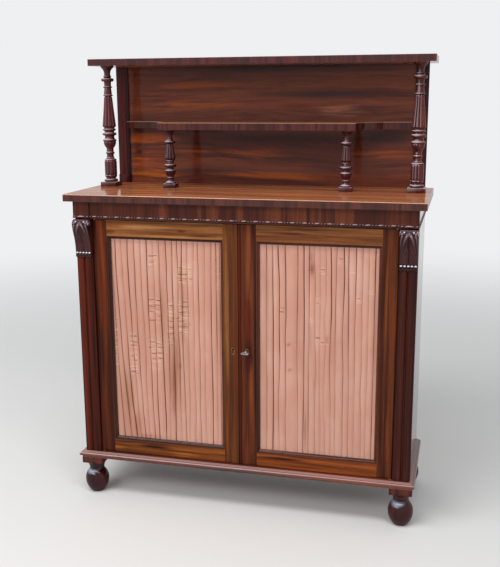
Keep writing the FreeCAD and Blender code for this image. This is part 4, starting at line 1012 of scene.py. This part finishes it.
# A lighter, lit copy of the column wood for the right tall column, with stronger painted highlights on its
# lobes.
lit_column_wood = ((110, 44, 33), (78, 30, 25), (40, 17, 17), 16, 44, 0.34, 0.01)
column_finish = painted_highlight_rosewood("column_polish", column_wood, 131.0, column_highlight, 0.66, 0.75, 0.7, 0.08,
                               rib_highlight=0.12)
lit_column_finish = painted_highlight_rosewood("lit_column_polish", lit_column_wood, 137.0, column_highlight, 0.64, 0.8, 0.5,
                               0.08, rib_highlight=0.28)
for side, sign in (("left", -1), ("right", 1)):
    for kind, members, start, tall, x, y, half, base, lobes, carving in (
            ("tall", tall_members, 18.0, tall_shaft, 499.0, 66.0, 27.0, 14.0, 9, tall_carving),
            ("small", small_members, 14.5, small_shaft, 285.0, 50.0, 20.0, 13.0, 8, small_carving)):
        name = kind + "_column_" + side
        x *= sign
        foot = deck_top + base
        shaft = lathe(turning(members, start, tall), lobed_spin(lobes, 14), x, y, foot, lobe_carver(carving))
        square = eased_block(x, y, half, deck_top, foot, 0.8)
        pegs = [dowel(x, y, low, low + peg_long, peg_r, 20) for low in (deck_top - peg_long, foot + tall)]
        finish = lit_column_finish if name == "tall_column_right" else column_finish
        wooden_piece(name, "_turned", finish, [shaft, square, *pegs])


# ------------ floor, light and camera
# A plain pale floor that fades into a pale room, under soft light from a wide overhead lamp, a front
# lamp and the room itself.

def seen_rays(tree):
    """1 for what the camera sees, straight, in polish or through glass."""
    path = add(tree, "ShaderNodeLightPath")
    seen = maths("MAXIMUM", Wire(path, "Is Camera Ray"), Wire(path, "Is Glossy Ray"))
    return maths("MAXIMUM", seen, Wire(path, "Is Transmission Ray"))


far, floor_z, haze_start, haze_full = 40, -0.0003, 1.2, 5.0
haze_colour, room_light = (0.86, 0.87, 0.88, 1), (0.50, 0.52, 0.54, 1)
floor_mesh = bpy.data.meshes.new("floor")
floor_corners = [(x, y, floor_z) for x, y in ((-far, -far), (far, -far), (far, far), (-far, far))]
floor_mesh.from_pydata(floor_corners, [], [(0, 1, 2, 3)])
floor_finish, floor_tree, floor_shader = start_material("pale_floor")
put(floor_shader, {"Base Color": (0.80, 0.79, 0.77, 1), "Roughness": 0.9, "Specular IOR Level": 0.1})
haze = add(floor_tree, "ShaderNodeEmission", {"Color": haze_colour})
far_off = spread(maths("LENGTH", coordinate(floor_tree)), haze_start, haze_full) * seen_rays(floor_tree)
fade = add(floor_tree, "ShaderNodeMixShader", {0: far_off, 1: Wire(floor_shader), 2: Wire(haze)})
put(floor_tree.nodes["Material Output"], {"Surface": Wire(fade)})
floor_mesh.materials.append(floor_finish)
placed("floor", floor_mesh)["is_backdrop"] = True

world = bpy.data.worlds.new("room")
bpy.context.scene.world = world
world.use_nodes = True
room = world.node_tree
room.nodes.clear()
room_colour = blended(seen_rays(room), room_light, haze_colour)
add(room, "ShaderNodeOutputWorld", {0: Wire(add(room, "ShaderNodeBackground", {"Color": room_colour}))})


def lamp(name, place, target, wide, deep, watts):
    data = bpy.data.lights.new(name, "AREA")
    data.shape = "RECTANGLE"
    data.size, data.size_y = wide, deep
    data.energy = watts
    made = placed(name, data)
    made.location = place
    made.rotation_euler = (Vector(target) - Vector(place)).to_track_quat("-Z", "Y").to_euler()


lamp("overhead", (-0.2, -1.3, 3.2), (0, -0.1, 1.0), 4.0, 0.7, 54.0)
lamp("front", (-2.0, -3.2, 2.8), (0, 0, 0.7), 3.0, 0.8, 64.0)

film_width, lens_length = 36.0, 53.94
camera_data = bpy.data.cameras.new("camera")
camera_data.sensor_width, camera_data.lens = film_width, lens_length
camera_place = (0.6388, -2.56765, 1.2766)
yaw, pitch, roll = (math.radians(v) for v in (-14.16, 12.44, 0.29))
ahead = Vector((math.sin(yaw) * math.cos(pitch), math.cos(yaw) * math.cos(pitch), -math.sin(pitch)))
right = Vector((math.cos(yaw), -math.sin(yaw), 0))
down = ahead.cross(right)
across = right * math.cos(roll) + down * math.sin(roll)
below = down * math.cos(roll) - right * math.sin(roll)
turned_to = Matrix((across, -below, -ahead)).transposed().to_4x4()
camera = placed("camera", camera_data)
camera.matrix_world = Matrix.Translation(camera_place) @ turned_to
bpy.context.scene.camera = camera
bpy.context.scene.view_settings.view_transform = "Standard"

low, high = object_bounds()
